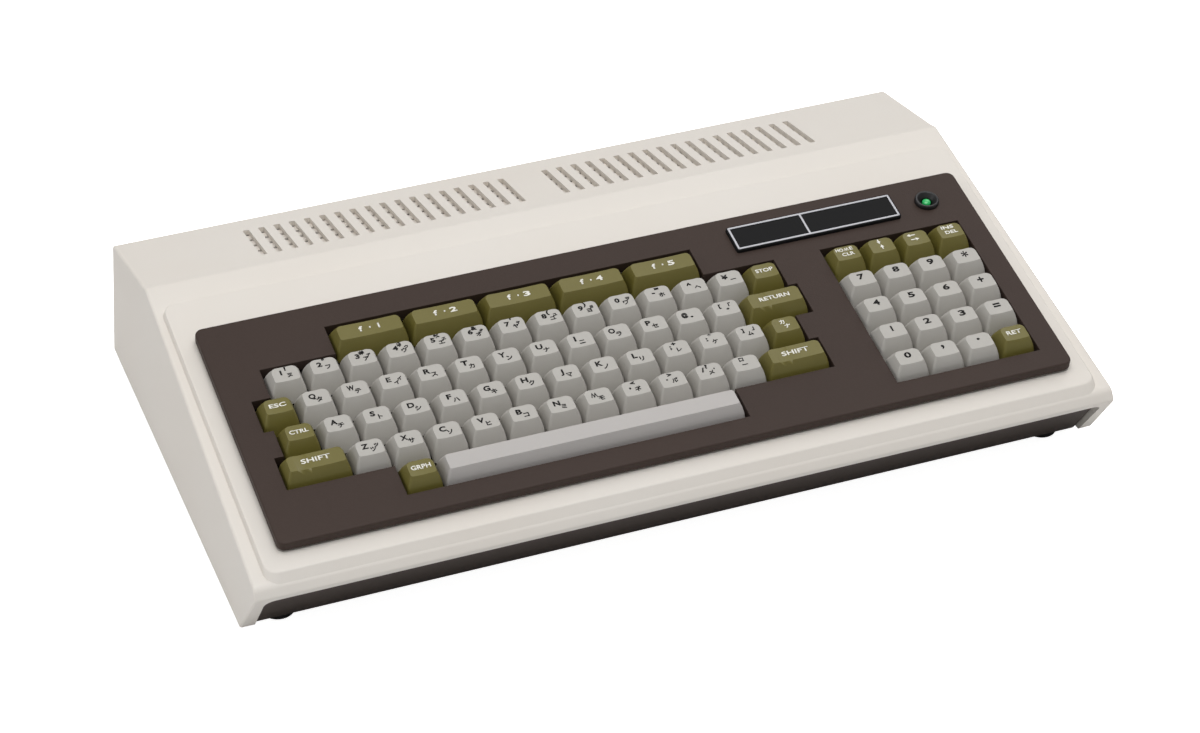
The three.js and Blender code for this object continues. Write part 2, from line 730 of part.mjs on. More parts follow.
// Turned ring with a conical mouth, clipped through the bezel
function lampRing() {
  const tail = bezelTop - lampTailDepth;
  const seat = bezelTop + seatGap;
  const rim = bezelTop + lampRingHeight;
  const outline = [
    [lampBoreRadius, tail], [lampTailRadius, tail], [lampTailRadius, seat], [lampRingRadius, seat],
    [lampRingRadius - seatGap, rim], [lampMouthRadius, rim], [lampBoreRadius, seat], [lampBoreRadius, tail],
  ].map(([radius, level]) => new THREE.Vector2(radius, level));
  return new THREE.LatheGeometry(outline, 16).rotateX(Math.PI / 2).translate(lampX, lampAlong, 0);
}

function powerLamp() {
  const tail = bezelTop - lampTailDepth;
  const outline = [[0, tail], [lampLensRadius, tail], [lampLensRadius, bezelTop]];
  for (let step = 1; step <= 3; step += 1) {
    const angle = step / 3 * Math.PI / 2;
    const radius = step === 3 ? 0 : lampLensRadius * Math.cos(angle);
    outline.push([radius, bezelTop + lampLensRadius * Math.sin(angle) / 2]);
  }
  const points = outline.map(([radius, level]) => new THREE.Vector2(radius, level));
  return new THREE.LatheGeometry(points, 16).rotateX(Math.PI / 2).translate(lampX, lampAlong, 0);
}

// Tray: its front slopes like the side walls, its rear wall carries the connectors
function trayFrontAt(height) {
  return noseFace + toeBack + trayInset * frontShare - (height - sideClear) * toeLean;
}

function slotBox(x, width) {
  const low = floorTop + slotRise;
  const front = trayInside - overrun / 2;
  return boxBetween(x - width / 2, x + width / 2, front, rearFace + overrun, low, low + slotHeight);
}

function bottomTray() {
  const profile = [
    new THREE.Vector2(trayFrontAt(trayFloorHeight), trayFloorHeight),
    new THREE.Vector2(trayRearFace, trayFloorHeight),
    new THREE.Vector2(trayRearFace, trayRearTop),
    new THREE.Vector2(trayFrontAt(trayFrontTop), trayFrontTop),
  ];
  const outer = acrossCase(profile, trayHalfWidth, sideWallFlare);
  const walls = [trayWall, trayWall, -overrun, trayWall];
  const inner = acrossCase(insetProfile(profile, walls), trayHalfWidth - trayWall, sideWallFlare);
  const stands = [];
  [boardLeft + boardInset, boardRight - boardInset].forEach((x) => {
    [boardFront + boardInset, boardRear - boardInset].forEach((y) => {
      const low = floorTop - seatGap;
      stands.push(toSolid(barZ(standRadius, standRadius, x, y, low, floorTop + standHeight, 10)));
    });
  });
  const rockerOut = rockerHalfWidth + rockerGap;
  const rockerTall = rockerHalfTall + rockerSwing;
  const rockerBox = toSolid(boxBetween(
    rockerX - rockerOut - rockerBoxWall, rockerX + rockerOut + rockerBoxWall,
    trayInside - rockerDepth, trayInside + seatGap,
    rockerHeight - rockerTall - rockerBoxWall, rockerHeight + rockerTall + rockerBoxWall,
  ));
  const rockerHole = toSolid(boxBetween(
    rockerX - rockerOut, rockerX + rockerOut, trayInside - rockerDepth - overrun, rearFace + overrun,
    rockerHeight - rockerTall, rockerHeight + rockerTall,
  ));
  const pinReach = rockerHalfWidth + rockerPinLength + seatGap;
  const pinHole = toSolid(barX(
    rockerPinRadius + seatGap, rockerX - pinReach, rockerX + pinReach, rockerAxisY, rockerHeight, 12,
  ));
  const gland = toSolid(barY(
    glandRadius + glandCollar, glandX, trayRearFace - seatGap, trayRearFace + glandStand, glandHeight, 16,
  ));
  const holes = [
    rockerHole,
    pinHole,
    toSolid(slotBox(expansionX, expansionWidth)),
    toSolid(slotBox(printerX, printerWidth)),
    toSolid(barY(glandRadius, glandX, trayInside - overrun, rearFace + overrun, glandHeight, 16)),
    toSolid(barY(resetRadius + seatGap, resetX, trayInside - overrun, rearFace + overrun, resetHeight, 12)),
    ...socketPlaces().map((x) => toSolid(barY(
      socketRadius + seatGap, x, trayInside - overrun, rearFace + overrun, socketAxis, 20,
    ))),
  ];
  return toGeometry(cutAll(addAll(outer.subtract(inner), [...stands, rockerBox, gland]), holes));
}

function foot() {
  const top = trayFloorHeight - seatGap;
  return barZ(footRadius - footTaper, footRadius, 0, 0, 0, top, 20);
}

function socketPlaces() {
  return Array.from({ length: socketCount }, (_, i) => socketLeft + socketSize / 2 + i * socketPitch);
}

// Rows of chips: place as a share of the board's depth, count, and depth of a chip
const chipShares = [
  [0.12, 8, chipDepth],
  [0.24, 8, chipDepth],
  [0.4, 4, bigChipDepth],
  [0.56, 8, chipDepth],
  [0.68, 8, chipDepth],
  [0.83, 5, bigChipDepth],
];

// Main board with its chips, edge tongues and the body of the reset switch
function mainBoard() {
  const top = boardTop;
  const plate = toSolid(boxBetween(boardLeft, boardRight, boardFront, boardRear, boardLevel, top));
  const tongue = (x, width) => toSolid(boxBetween(
    x - width / 2 + slotRise, x + width / 2 - slotRise, boardRear - boardInset, boardRear + tongueLength,
    boardLevel, top,
  ));
  const solids = [tongue(expansionX, expansionWidth), tongue(printerX, printerWidth)];
  chipShares.forEach(([share, count, depth]) => {
    const y = boardFront + share * (boardRear - boardFront);
    const step = (boardRight - boardLeft - 2 * boardInset) / count;
    for (let i = 0; i < count; i += 1) {
      const x = boardLeft + boardInset + (i + 1 / 2) * step;
      const half = (step - chipGap) / 2;
      solids.push(toSolid(boxBetween(
        x - half, x + half, y - depth / 2, y + depth / 2, top - chipSunk, top + chipHeight,
      )));
    }
  });
  const bodyRear = trayInside - resetCollar - resetTravel - 2 * seatGap;
  const half = resetSize / 2;
  solids.push(toSolid(boxBetween(
    resetX - half, resetX + half, bodyRear - resetStemLength - resetTravel, bodyRear,
    top - chipSunk, top + resetSize,
  )));
  const bore = toSolid(barY(
    resetStemRadius + seatGap, resetX, bodyRear - resetStemLength - seatGap, bodyRear + overrun,
    resetHeight, 12,
  ));
  return toGeometry(addAll(plate, solids).subtract(bore));
}

function rearSockets() {
  const rear = trayInside - seatGap;
  const low = boardTop + seatGap;
  const body = toSolid(boxBetween(
    socketLeft, socketLeft + socketBlock, rear - socketDepth, rear, low, low + socketSize,
  ));
  const bores = socketPlaces().map((x) => toSolid(barY(
    socketRadius, x, rear - socketBoreDepth, rear + overrun, socketAxis, 20,
  )));
  return toGeometry(cutAll(body, bores));
}

function resetButton() {
  const inside = trayInside - seatGap;
  const front = inside - resetCollar;
  const stemFront = front - resetStemLength + resetTravel;
  const cap = toSolid(barY(resetRadius, 0, inside - seatGap, inside + resetLength, 0, 12));
  const collar = toSolid(barY(resetRadius + resetCollar, 0, front, inside, 0, 12));
  const stem = toSolid(barY(resetStemRadius, 0, stemFront, front + seatGap, 0, 12));
  return toGeometry(addAll(cap, [collar, stem])).translate(resetX, 0, resetHeight);
}

// Rocker with two finger faces, at rest on its lower half
function powerSwitch() {
  const reach = rearFace - rockerGap - rockerAxisY;
  const outline = new THREE.Shape([
    new THREE.Vector2(-rockerDepth / 4, -rockerHalfTall / 2),
    new THREE.Vector2(reach - rockerDish, -rockerHalfTall),
    new THREE.Vector2(reach - 2 * rockerDish, 0),
    new THREE.Vector2(reach - rockerDish, rockerHalfTall),
    new THREE.Vector2(-rockerDepth / 4, rockerHalfTall / 2),
  ]);
  const width = 2 * rockerHalfWidth;
  const block = new THREE.ExtrudeGeometry(outline, { depth: width, bevelEnabled: false });
  const turn = new THREE.Matrix4().makeBasis(
    new THREE.Vector3(0, 1, 0), new THREE.Vector3(0, 0, 1), new THREE.Vector3(1, 0, 0),
  ).setPosition(-rockerHalfWidth, 0, 0);
  const pinReach = rockerHalfWidth + rockerPinLength;
  const pin = toSolid(barX(rockerPinRadius, -pinReach, pinReach, 0, 0, 12));
  return toGeometry(toSolid(block, turn).add(pin));
}

// Power supply: mains transformer, cooling fins and smoothing cans on one steel base
function powerSupply() {
  const low = floorTop + seatGap;
  const top = low + supplyPlate;
  const base = toSolid(boxBetween(supplyLeft, supplyRight, supplyFront, supplyRear, low, top));
  const coreRight = supplyRight - coilSwell;
  const coreLeft = coreRight - coreWidth;
  const coreRear = supplyRear - coilSwell;
  const coreFront = coreRear - coreDepth;
  const coilHalf = coreHeight * coilHeightShare / 2;
  const middle = top + coreHeight / 2;
  const inset = (coreWidth - coreWidth * coilHeightShare) / 2;
  const solids = [
    boxBetween(coreLeft, coreRight, coreFront, coreRear, top - seatGap, top + coreHeight),
    boxBetween(
      coreLeft + inset, coreRight - inset, coreFront - coilSwell, coreRear + coilSwell,
      middle - coilHalf, middle + coilHalf,
    ),
  ];
  const finStep = (coreLeft - supplyLeft - coilSwell) / finCount;
  for (let i = 0; i < finCount; i += 1) {
    const x = supplyLeft + (i + 1 / 2) * finStep;
    solids.push(boxBetween(x, x + finThickness, coreFront, supplyRear, top - seatGap, top + finHeight));
  }
  for (let i = 0; i < canCount; i += 1) {
    const x = supplyLeft + canRadius + supplyPlate + i * (2 * canRadius + supplyPlate);
    const y = supplyFront + canRadius + supplyPlate;
    solids.push(barZ(canRadius, canRadius, x, y, top - seatGap, top + canHeight, 14));
  }
  return toGeometry(addAll(base, solids.map((solid) => toSolid(solid))));
}

// Scene: everything in the case frame, the keyboard group in the sloping deck's frame
const group = new THREE.Group();
const deck = new THREE.Group();
deck.position.set(0, 0, deckMiddle);
deck.rotation.x = deckTilt;
group.add(deck);

function addPiece(parent, name, geometry, material, position = [0, 0, 0]) {
  const mesh = new THREE.Mesh(geometry, material);
  mesh.name = name;
  mesh.position.set(...position);
  parent.add(mesh);
  return mesh;
}

addPiece(group, 'top_cover', topCover(), materials.cream);
addPiece(group, 'bottom_tray', bottomTray(), materials.tray);
addPiece(deck, 'keyboard_bezel', keyboardBezel(), materials.brown);
addPiece(deck, 'badge_plate', badgePlate(), materials.black);
addPiece(deck, 'lamp_ring', lampRing(), materials.black);
addPiece(deck, 'power_lamp', powerLamp(), materials.lamp);
addPiece(deck, 'switch_plate', switchPlate(), materials.steel);
addPiece(deck, 'keyboard_board', keyboardBoard(), materials.board);
addPiece(group, 'main_board', mainBoard(), materials.board);
addPiece(group, 'rear_sockets', rearSockets(), materials.black);
addPiece(group, 'power_supply', powerSupply(), materials.steel);
addPiece(group, 'reset_button', resetButton(), materials.black);
const rockerPlace = [rockerX, rockerAxisY, rockerHeight];
const rocker = addPiece(group, 'power_switch', powerSwitch(), materials.black, rockerPlace);
rocker.rotation.x = -rockerTilt;

const feet = [
  ['foot_front_left', -footX, noseFace + footFrontMargin],
  ['foot_front_right', footX, noseFace + footFrontMargin],
  ['foot_rear_left', -footX, rearFace - footRearMargin],
  ['foot_rear_right', footX, rearFace - footRearMargin],
];
feet.forEach(([name, x, y]) => addPiece(group, name, foot(), materials.rubber, [x, y, 0]));

const capGeometries = new Map();
movingRows.forEach(([row, keys]) => keys.forEach(([name, place, units]) => {
  const kind = `${units}`;
  if (!capGeometries.has(kind)) {
    const depthShare = name === 'space' ? spaceTopDepthShare : keyTopDepthShare;
    capGeometries.set(kind, keyCap(units, depthShare, postsOf(name)));
  }
  let material = greenKeys.includes(name) ? materials.keyGreen : materials.keyGrey;
  if (name === 'space') material = materials.spaceGrey;
  addPiece(deck, `key_${name}`, capGeometries.get(kind), material, [mainX(place), along(row), keyBaseLevel]);
}));

export default group;
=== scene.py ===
import math

import bpy
from mathutils import Matrix, Vector


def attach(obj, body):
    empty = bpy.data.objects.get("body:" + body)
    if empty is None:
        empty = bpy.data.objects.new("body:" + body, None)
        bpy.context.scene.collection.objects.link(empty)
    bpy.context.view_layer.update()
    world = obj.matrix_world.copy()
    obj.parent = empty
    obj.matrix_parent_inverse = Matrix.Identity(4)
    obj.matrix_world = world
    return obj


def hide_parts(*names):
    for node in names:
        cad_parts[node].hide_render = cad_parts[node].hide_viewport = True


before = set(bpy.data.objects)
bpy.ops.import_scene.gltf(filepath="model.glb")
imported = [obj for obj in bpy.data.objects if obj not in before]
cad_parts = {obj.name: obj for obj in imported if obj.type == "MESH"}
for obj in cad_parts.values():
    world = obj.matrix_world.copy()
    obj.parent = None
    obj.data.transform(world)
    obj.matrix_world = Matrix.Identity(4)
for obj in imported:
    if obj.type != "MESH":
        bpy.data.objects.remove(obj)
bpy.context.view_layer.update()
mm = 0.001
roundSteps = 32  # sides of what is round
touch = 0.01  # places that are nearer than this count as one
facing = 0.9  # a face looks along an axis when its normal has at least this share of it


def shift(x, y, z):
    return Matrix.Translation((x * mm, y * mm, z * mm))


def rearward(x, y, z):  # stands a turned piece upright on the rear wall
    return shift(x, y, z) @ Matrix.Rotation(-math.pi / 2, 4, "X")


def newObject(name, data):
    obj = bpy.data.objects.new(name, data)
    bpy.context.scene.collection.objects.link(obj)
    return obj


# the camera of the photograph
cameraValues = {
    "target": (-8.55, -20.52, 40.0),
    "azimuth": -20.421,
    "elevation": 35.01,
    "distance": 1577.93,
    "roll": -0.427,
    "lens": 98.26,
    "sensor": 36,
    "clip": (0.05, 30),
}


def placeCamera():
    s = cameraValues
    a = math.radians(s["azimuth"])
    e = math.radians(s["elevation"])
    back = Vector((math.sin(a) * math.cos(e), -math.cos(a) * math.cos(e), math.sin(e)))
    right = Vector((0, 0, 1)).cross(back).normalized()
    up = back.cross(right)
    r = math.radians(s["roll"])
    rolledRight = right * math.cos(r) + up * math.sin(r)
    rolledUp = up * math.cos(r) - right * math.sin(r)
    data = bpy.data.cameras.new("photoCamera")
    data.lens = s["lens"]
    data.sensor_width = s["sensor"]
    data.clip_start, data.clip_end = s["clip"]
    camera = newObject("photoCamera", data)
    spot = (Vector(s["target"]) + back * s["distance"]) * mm
    turn = Matrix((rolledRight, rolledUp, back)).transposed().to_4x4()
    camera.matrix_world = Matrix.Translation(spot) @ turn
    bpy.context.scene.camera = camera


placeCamera()


# selecting, placing and finishing
def deselect():
    bpy.ops.object.select_all(action="DESELECT")


def only(obj):
    deselect()
    obj.select_set(True)
    bpy.context.view_layer.objects.active = obj


def toObject():
    bpy.ops.object.mode_set(mode="OBJECT")


def editAll(obj):  # edit mode, with the whole mesh selected
    only(obj)
    bpy.ops.object.mode_set(mode="EDIT")
    bpy.ops.mesh.select_all(action="SELECT")


def pick(obj, kind, test):  # edit mode, with only the wanted parts selected
    only(obj)
    bpy.ops.object.mode_set(mode="EDIT")
    bpy.ops.mesh.select_mode(type=kind)
    bpy.ops.mesh.select_all(action="DESELECT")
    toObject()
    mesh = obj.data
    if kind == "VERT":
        for v in mesh.vertices:
            v.select = test(v.co / mm)
    elif kind == "EDGE":
        for e in mesh.edges:
            a, b = (mesh.vertices[i].co / mm for i in e.vertices)
            e.select = test(a, b)
    else:
        for f in mesh.polygons:
            f.select = test(f.center / mm, f.normal)
    bpy.ops.object.mode_set(mode="EDIT")


def settle(obj, place=None):  # puts a piece in place and keeps the place in its mesh
    only(obj)
    if place is not None:
        obj.matrix_world = place @ obj.matrix_world
    bpy.ops.object.transform_apply(location=True, rotation=True, scale=True)
    return obj


def block(name, low, high):
    deselect()
    centre = [(a + b) / 2 * mm for a, b in zip(low, high)]
    bpy.ops.mesh.primitive_cube_add(size=1, location=centre)
    obj = bpy.context.object
    obj.name = name
    obj.scale = [(b - a) * mm for a, b in zip(low, high)]
    return settle(obj)


def rod(name, radius, length, spot, sides=roundSteps):
    deselect()
    bpy.ops.mesh.primitive_cylinder_add(
        vertices=sides, radius=radius * mm, depth=length * mm, location=[c * mm for c in spot],
    )
    obj = bpy.context.object
    obj.name = name
    return settle(obj)


def sheet(size=1):
    deselect()
    bpy.ops.mesh.primitive_plane_add(size=size)
    return bpy.context.object


def trim(obj, point, normal):  # cuts off what lies on the normal's side and closes the cut
    editAll(obj)
    bpy.ops.mesh.bisect(
        plane_co=[c * mm for c in point], plane_no=normal, use_fill=True, clear_outer=True,
    )
    toObject()


def modify(obj, name, kind, **values):  # adds a modifier and applies it
    modifier = obj.modifiers.new(name, kind)
    for key, value in values.items():
        setattr(modifier, key, value)
    only(obj)
    bpy.ops.object.modifier_apply(modifier=modifier.name)


def cutWith(obj, cutter):
    modify(obj, "cut", "BOOLEAN", operation="DIFFERENCE", solver="EXACT", object=cutter)
    bpy.data.objects.remove(cutter)


def repeat(obj, count, step):  # copies in a row along X
    modify(
        obj, "row", "ARRAY", count=count, use_relative_offset=False, use_constant_offset=True,
        constant_offset_displace=(step * mm, 0, 0),
    )


def duplicateOf(obj):
    only(obj)
    bpy.ops.object.duplicate()
    return bpy.context.object


def joinInto(obj, others):
    only(obj)
    for other in others:
        other.select_set(True)
    bpy.ops.object.join()
    return obj


def softEdges(obj, width, segments, angle=30):
    modify(
        obj, "softEdges", "BEVEL", width=width * mm, segments=segments, limit_method="ANGLE",
        angle_limit=math.radians(angle),
    )


def smooth(obj, angle=40):
    only(obj)
    bpy.ops.object.shade_smooth_by_angle(angle=math.radians(angle))
    modify(obj, "evenNormals", "WEIGHTED_NORMAL", keep_sharp=True)


def bevelEdges(obj, width, segments, test, clamp=False):
    pick(obj, "EDGE", test)
    bpy.ops.mesh.bevel(offset=width * mm, segments=segments, affect="EDGES", clamp_overlap=clamp)
    toObject()


def roundCorners(obj, radius, segments=6):  # the four upright edges
    bevelEdges(obj, radius, segments, lambda a, b: abs(a.x - b.x) < touch and abs(a.y - b.y) < touch)


def over(level):  # a test for the edges round a piece's top
    return lambda a, b: min(a.z, b.z) > level - 0.1


def pushFace(obj, test, margin, depth):  # draws a face in by a margin and pushes it down
    pick(obj, "FACE", test)
    bpy.ops.mesh.inset(thickness=margin * mm)
    bpy.ops.mesh.extrude_region_move(TRANSFORM_OT_translate={"value": (0, 0, -depth * mm)})
    toObject()


def mergeFlat(obj):  # one vertex at each corner and one face on each flat
    editAll(obj)
    bpy.ops.mesh.remove_doubles(threshold=touch * mm)
    bpy.ops.mesh.dissolve_limited(angle_limit=math.radians(0.5))
    toObject()


def coat(obj, material):
    obj.data.materials.clear()
    obj.data.materials.append(material)


def wear(obj, slotName, body, *nodes):  # rides a body and stands for its nodes
    settle(obj)
    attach(obj, body)
    if nodes:
        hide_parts(*nodes)


def dress(obj, material, slotName, body, *nodes):
    coat(obj, material)
    wear(obj, slotName, body, *nodes)


# shader groups and materials
def linear(r, g, b):  # screen colour, 0 to 255, as the shader takes it
    def one(v):
        v = v / 255
        return v / 12.92 if v <= 0.04045 else ((v + 0.055) / 1.055) ** 2.4
    return (one(r), one(g), one(b), 1.0)


def setInputs(node, values):
    for name, value in values.items():
        node.inputs[name].default_value = value


def wire(tree, *wires):  # each wire: from a node, its output, to a node, its input
    for start, output, end, entry in wires:
        tree.links.new(start.outputs[output], end.inputs[entry])


def makeMouldedGroup():
    group = bpy.data.node_groups.new("mouldedSurface", "ShaderNodeTree")
    face = group.interface
    for name, value in {
        "Base": (0.8, 0.8, 0.8, 1), "Aged": (0.7, 0.7, 0.7, 1), "Patch Scale": 14.0, "Grain Scale": 1800.0,
        "Grain Depth": 0.00003, "Roughness": 0.5, "Roughness Swing": 0.1,
    }.items():
        kind = "NodeSocketFloat" if isinstance(value, float) else "NodeSocketColor"
        face.new_socket(name, in_out="INPUT", socket_type=kind).default_value = value
    for name, kind in (("Color", "Color"), ("Roughness", "Float"), ("Normal", "Vector")):
        face.new_socket(name, in_out="OUTPUT", socket_type="NodeSocket" + kind)
    given, out, place, patches, grain, mix, speck, bump = (group.nodes.new(kind) for kind in (
        "NodeGroupInput", "NodeGroupOutput", "ShaderNodeTexCoord", "ShaderNodeTexNoise",
        "ShaderNodeTexNoise", "ShaderNodeMix", "ShaderNodeMath", "ShaderNodeBump",
    ))
    setInputs(patches, {"Detail": 3})
    setInputs(grain, {"Detail": 2, "Roughness": 0.6})
    setInputs(bump, {"Strength": 1})
    mix.data_type = "RGBA"
    speck.operation = "MULTIPLY_ADD"
    wire(
        group,
        (place, "Object", patches, "Vector"),
        (place, "Object", grain, "Vector"),
        (given, "Patch Scale", patches, "Scale"),
        (given, "Grain Scale", grain, "Scale"),
        (patches, "Fac", mix, "Factor"),
        (given, "Base", mix, "A"),
        (given, "Aged", mix, "B"),
        (mix, "Result", out, "Color"),
        (grain, "Fac", speck, 0),
        (given, "Roughness Swing", speck, 1),
        (given, "Roughness", speck, 2),
        (speck, "Value", out, "Roughness"),
        (grain, "Fac", bump, "Height"),
        (given, "Grain Depth", bump, "Distance"),
        (bump, "Normal", out, "Normal"),
    )
    return group


mouldedSurface = makeMouldedGroup()


def moulded(name, base, aged, grainScale, grainDepth, roughness, level=0.5, metallic=0.0):
    material = bpy.data.materials.new(name)
    material.use_nodes = True
    tree = material.node_tree
    shader = tree.nodes["Principled BSDF"]
    setInputs(shader, {"Metallic": metallic, "Specular IOR Level": level})
    surface = tree.nodes.new("ShaderNodeGroup")
    surface.node_tree = mouldedSurface
    setInputs(surface, {
        "Base": linear(*base), "Aged": linear(*aged), "Grain Scale": grainScale,
        "Grain Depth": grainDepth * mm, "Roughness": roughness,
    })
    wire(
        tree,
        (surface, "Color", shader, "Base Color"),
        (surface, "Roughness", shader, "Roughness"),
        (surface, "Normal", shader, "Normal"),
    )
    return material


creamPlastic = moulded("creamPlastic", (229, 224, 217), (226, 219, 210), 2600, 0.03, 0.5)
bezelPlastic = moulded("bezelPlastic", (65, 52, 46), (60, 48, 43), 1500, 0.1, 0.55, level=0.25)
trayPlastic = moulded("trayPlastic", (74, 65, 60), (68, 60, 55), 1800, 0.05, 0.55, level=0.3)
blackPlastic = moulded("blackPlastic", (32, 32, 33), (28, 28, 29), 1500, 0.02, 0.35)
switchBlack = moulded("switchBlack", (22, 21, 21), (18, 17, 17), 1500, 0.02, 0.6, level=0.15)
badgeBlack = moulded("badgeBlack", (26, 26, 27), (23, 23, 24), 1500, 0.01, 0.55, level=0.12)
silverPaint = moulded("silverPaint", (200, 200, 205), (190, 190, 196), 2000, 0.01, 0.4)
greyCap = moulded("greyCap", (186, 183, 177), (182, 179, 173), 2600, 0.025, 0.45, level=0.4)
# the space bar takes a lighter copy of the grey cap plastic: painted light that makes up for the shade on its
# front in the well
spaceCapPaintedLight = moulded("spaceCapPaintedLight", (189, 185, 182), (184, 180, 177), 2200, 0.03, 0.45, level=0.4)
greenCap = moulded("greenCap", (113, 105, 46), (107, 100, 43), 2400, 0.03, 0.42, level=0.6)
blackInk = moulded("blackInk", (20, 18, 18), (17, 16, 16), 2000, 0.005, 0.5, level=0.2)
whiteInk = moulded("whiteInk", (240, 239, 232), (234, 232, 223), 2000, 0.005, 0.5)
# the switch plate is near-black: painted shade for the deep wells round and between the caps
platePaintedShade = moulded("platePaintedShade", (20, 19, 18), (17, 16, 15), 900, 0.02, 0.6, level=0.15)
bareSteel = moulded("bareSteel", (160, 162, 164), (140, 142, 145), 900, 0.02, 0.35, metallic=1.0)
goldContact = moulded("goldContact", (206, 170, 92), (196, 158, 84), 900, 0.01, 0.3, metallic=1.0)
boardGreen = moulded("boardGreen", (44, 84, 56), (38, 74, 48), 700, 0.03, 0.45)
footRubber = moulded("footRubber", (26, 25, 25), (20, 20, 20), 1200, 0.06, 0.75)


def lampMaterial():
    material = moulded("lampGreen", (52, 178, 98), (36, 156, 84), 900, 0.005, 0.12)
    setInputs(material.node_tree.nodes["Principled BSDF"], {
        "Coat Weight": 0.6, "Emission Color": linear(40, 190, 100), "Emission Strength": 0.22,
    })
    return material


lampGreen = lampMaterial()
print("materials ready")

# the case: outer form in side view, millimetres
coverShape = {
    "halfWidth": 215.0,
    "flare": 0.0821,
    "rear": 130.0,
    "foot": 4.5,
    "rearTop": 65.6,
    "lip": (70.6, 78.3),
    "ridge": (65.2, 80.1),
    "noseTop": (-127.4, 41.6),
    "noseBottom": (-130.0, 35.8),
    "toe": (-106.7, 4.5),
    "wall": 3.0,
    "innerHalfWidth": 207.6,
    "innerFlare": 0.0274,
    "innerCorner": 5.0,
    "noseEdge": 2.2,
    "edge": 1.1,
    "innerToe": 6.0,
    "blank": (230.0, -150.0, 100.0),  # half width, front and top of the block it is cut from
    "meeting": 63.8,  # where the front slope and the rear deck meet at first
    "noseRegion": -115.0,
}
ridgeY, ridgeZ = coverShape["ridge"]
noseY, noseZ = coverShape["noseTop"]
deckSlope = (ridgeZ - noseZ) / (ridgeY - noseY)
deckTilt = math.atan(deckSlope)
deckPlace = shift(0, 0, ridgeZ - ridgeY * deckSlope) @ Matrix.Rotation(deckTilt, 4, "X")


def sideCut(obj, start, end, inset):  # cuts along a line of the side view, on the left of its way
    normal = Vector((0, start[1] - end[1], end[0] - start[0])).normalized()
    trim(obj, Vector((0, *start)) - normal * inset, normal)


def caseHull(name, halfWidth, flare, wall, toeOut):
    s = coverShape
    blankHalf, blankFront, blankTop = s["blank"]
    obj = block(name, (-blankHalf, blankFront, s["foot"] - toeOut), (blankHalf, s["rear"] - wall, blankTop))
    sideCut(obj, s["noseTop"], s["ridge"], wall)
    sideCut(obj, s["lip"], (s["rear"], s["rearTop"]), wall)
    sideCut(obj, s["noseBottom"], s["noseTop"], wall)
    sideCut(obj, s["toe"], s["noseBottom"], -toeOut)
    for side in (-1, 1):
        trim(obj, (side * halfWidth, 0, 0), (side, 0, flare))
    return obj


def modelCover():
    s = coverShape
    cover = caseHull("coverShell", s["halfWidth"], s["flare"], 0, 0)
    # the ridge is pulled up along the front slope into the low lip behind it
    editAll(cover)
    bpy.ops.mesh.bisect(plane_co=[0, s["lip"][0] * mm, 0], plane_no=(0, 1, 0))
    toObject()
    pick(cover, "VERT", lambda v: abs(v.y - s["meeting"]) < 2 and v.z > s["rearTop"])
    spot = max((v.co.copy() for v in cover.data.vertices if v.select), key=lambda v: v.z)
    bpy.ops.transform.translate(value=(0, ridgeY * mm - spot.y, ridgeZ * mm - spot.z))
    toObject()
    bevelEdges(
        cover, s["noseEdge"], 5,
        lambda a, b: all(abs(v.z - noseZ) < 0.1 and v.y < s["noseRegion"] for v in (a, b)),
    )
    softEdges(cover, s["edge"], 3, 12)
    inner = caseHull("coverInside", s["innerHalfWidth"], s["innerFlare"], s["wall"], s["innerToe"])
    bevelEdges(
        inner, s["innerCorner"], 6,
        lambda a, b: max(a.y, b.y) < s["noseRegion"] and abs(a.x - b.x) < 1 and abs(a.z - b.z) > 3,
    )
    cutWith(cover, inner)
    return cover


cover = modelCover()
print("cover shell")

panelShape = {
    "halfWidth": 204.2,
    "front": -126.3,
    "rear": 49.4,
    "height": 3.4,
    "low": -1.2,
    "run": 0.9,
    "frontRun": 3.0,
    "corner": 6.0,
    "edge": 0.7,
    "opening": (187.6, -108.4, 13.0),  # half width, front and rear
    "openingReach": 12.0,
}


def modelPanel():
    s = panelShape
    half = s["halfWidth"]
    panel = block("raisedPanel", (-half, s["front"], s["low"]), (half, s["rear"], s["height"]))
    roundCorners(panel, s["corner"])
    pick(panel, "FACE", lambda c, n: n.z < -facing)
    run, frontRun = (s[name] * (s["height"] - s["low"]) / s["height"] for name in ("run", "frontRun"))
    depth = s["rear"] - s["front"]
    wide = 2 * half
    fixed = s["rear"] - depth * run / (run + frontRun)
    bpy.ops.transform.resize(
        value=((wide + 2 * run) / wide, (depth + run + frontRun) / depth, 1),
        center_override=(0, fixed * mm, 0),
    )
    toObject()
    bevelEdges(panel, s["edge"], 2, over(s["height"]))
    return settle(panel, deckPlace)


def cutOpening(obj):
    halfX, front, rear = panelShape["opening"]
    reach = panelShape["openingReach"]
    cutter = block("openingCutter", (-halfX, front, -reach), (halfX, rear, reach))
    settle(cutter, deckPlace)
    cutWith(obj, cutter)


panel = modelPanel()
cutOpening(panel)
cutOpening(cover)
print("raised panel")

ventShape = {
    "count": 18,
    "pitch": 7.865,
    "width": 3.2,
    "first": 11.8,
    "front": 78.5,
    "length": 36.0,
    "slats": 5,
    "slatLead": 1.05,
    "slatPitch": 7.85,
    "slatGap": 2.4,
    "recess": 3.0,
    "slatDepth": 2.6,
    "corner": 0.6,
    "reach": (55.0, 90.0),
}
windowShape = {"halfWidth": 188.0, "front": 120.0, "rear": 140.0, "low": -5.0, "top": 38.0}


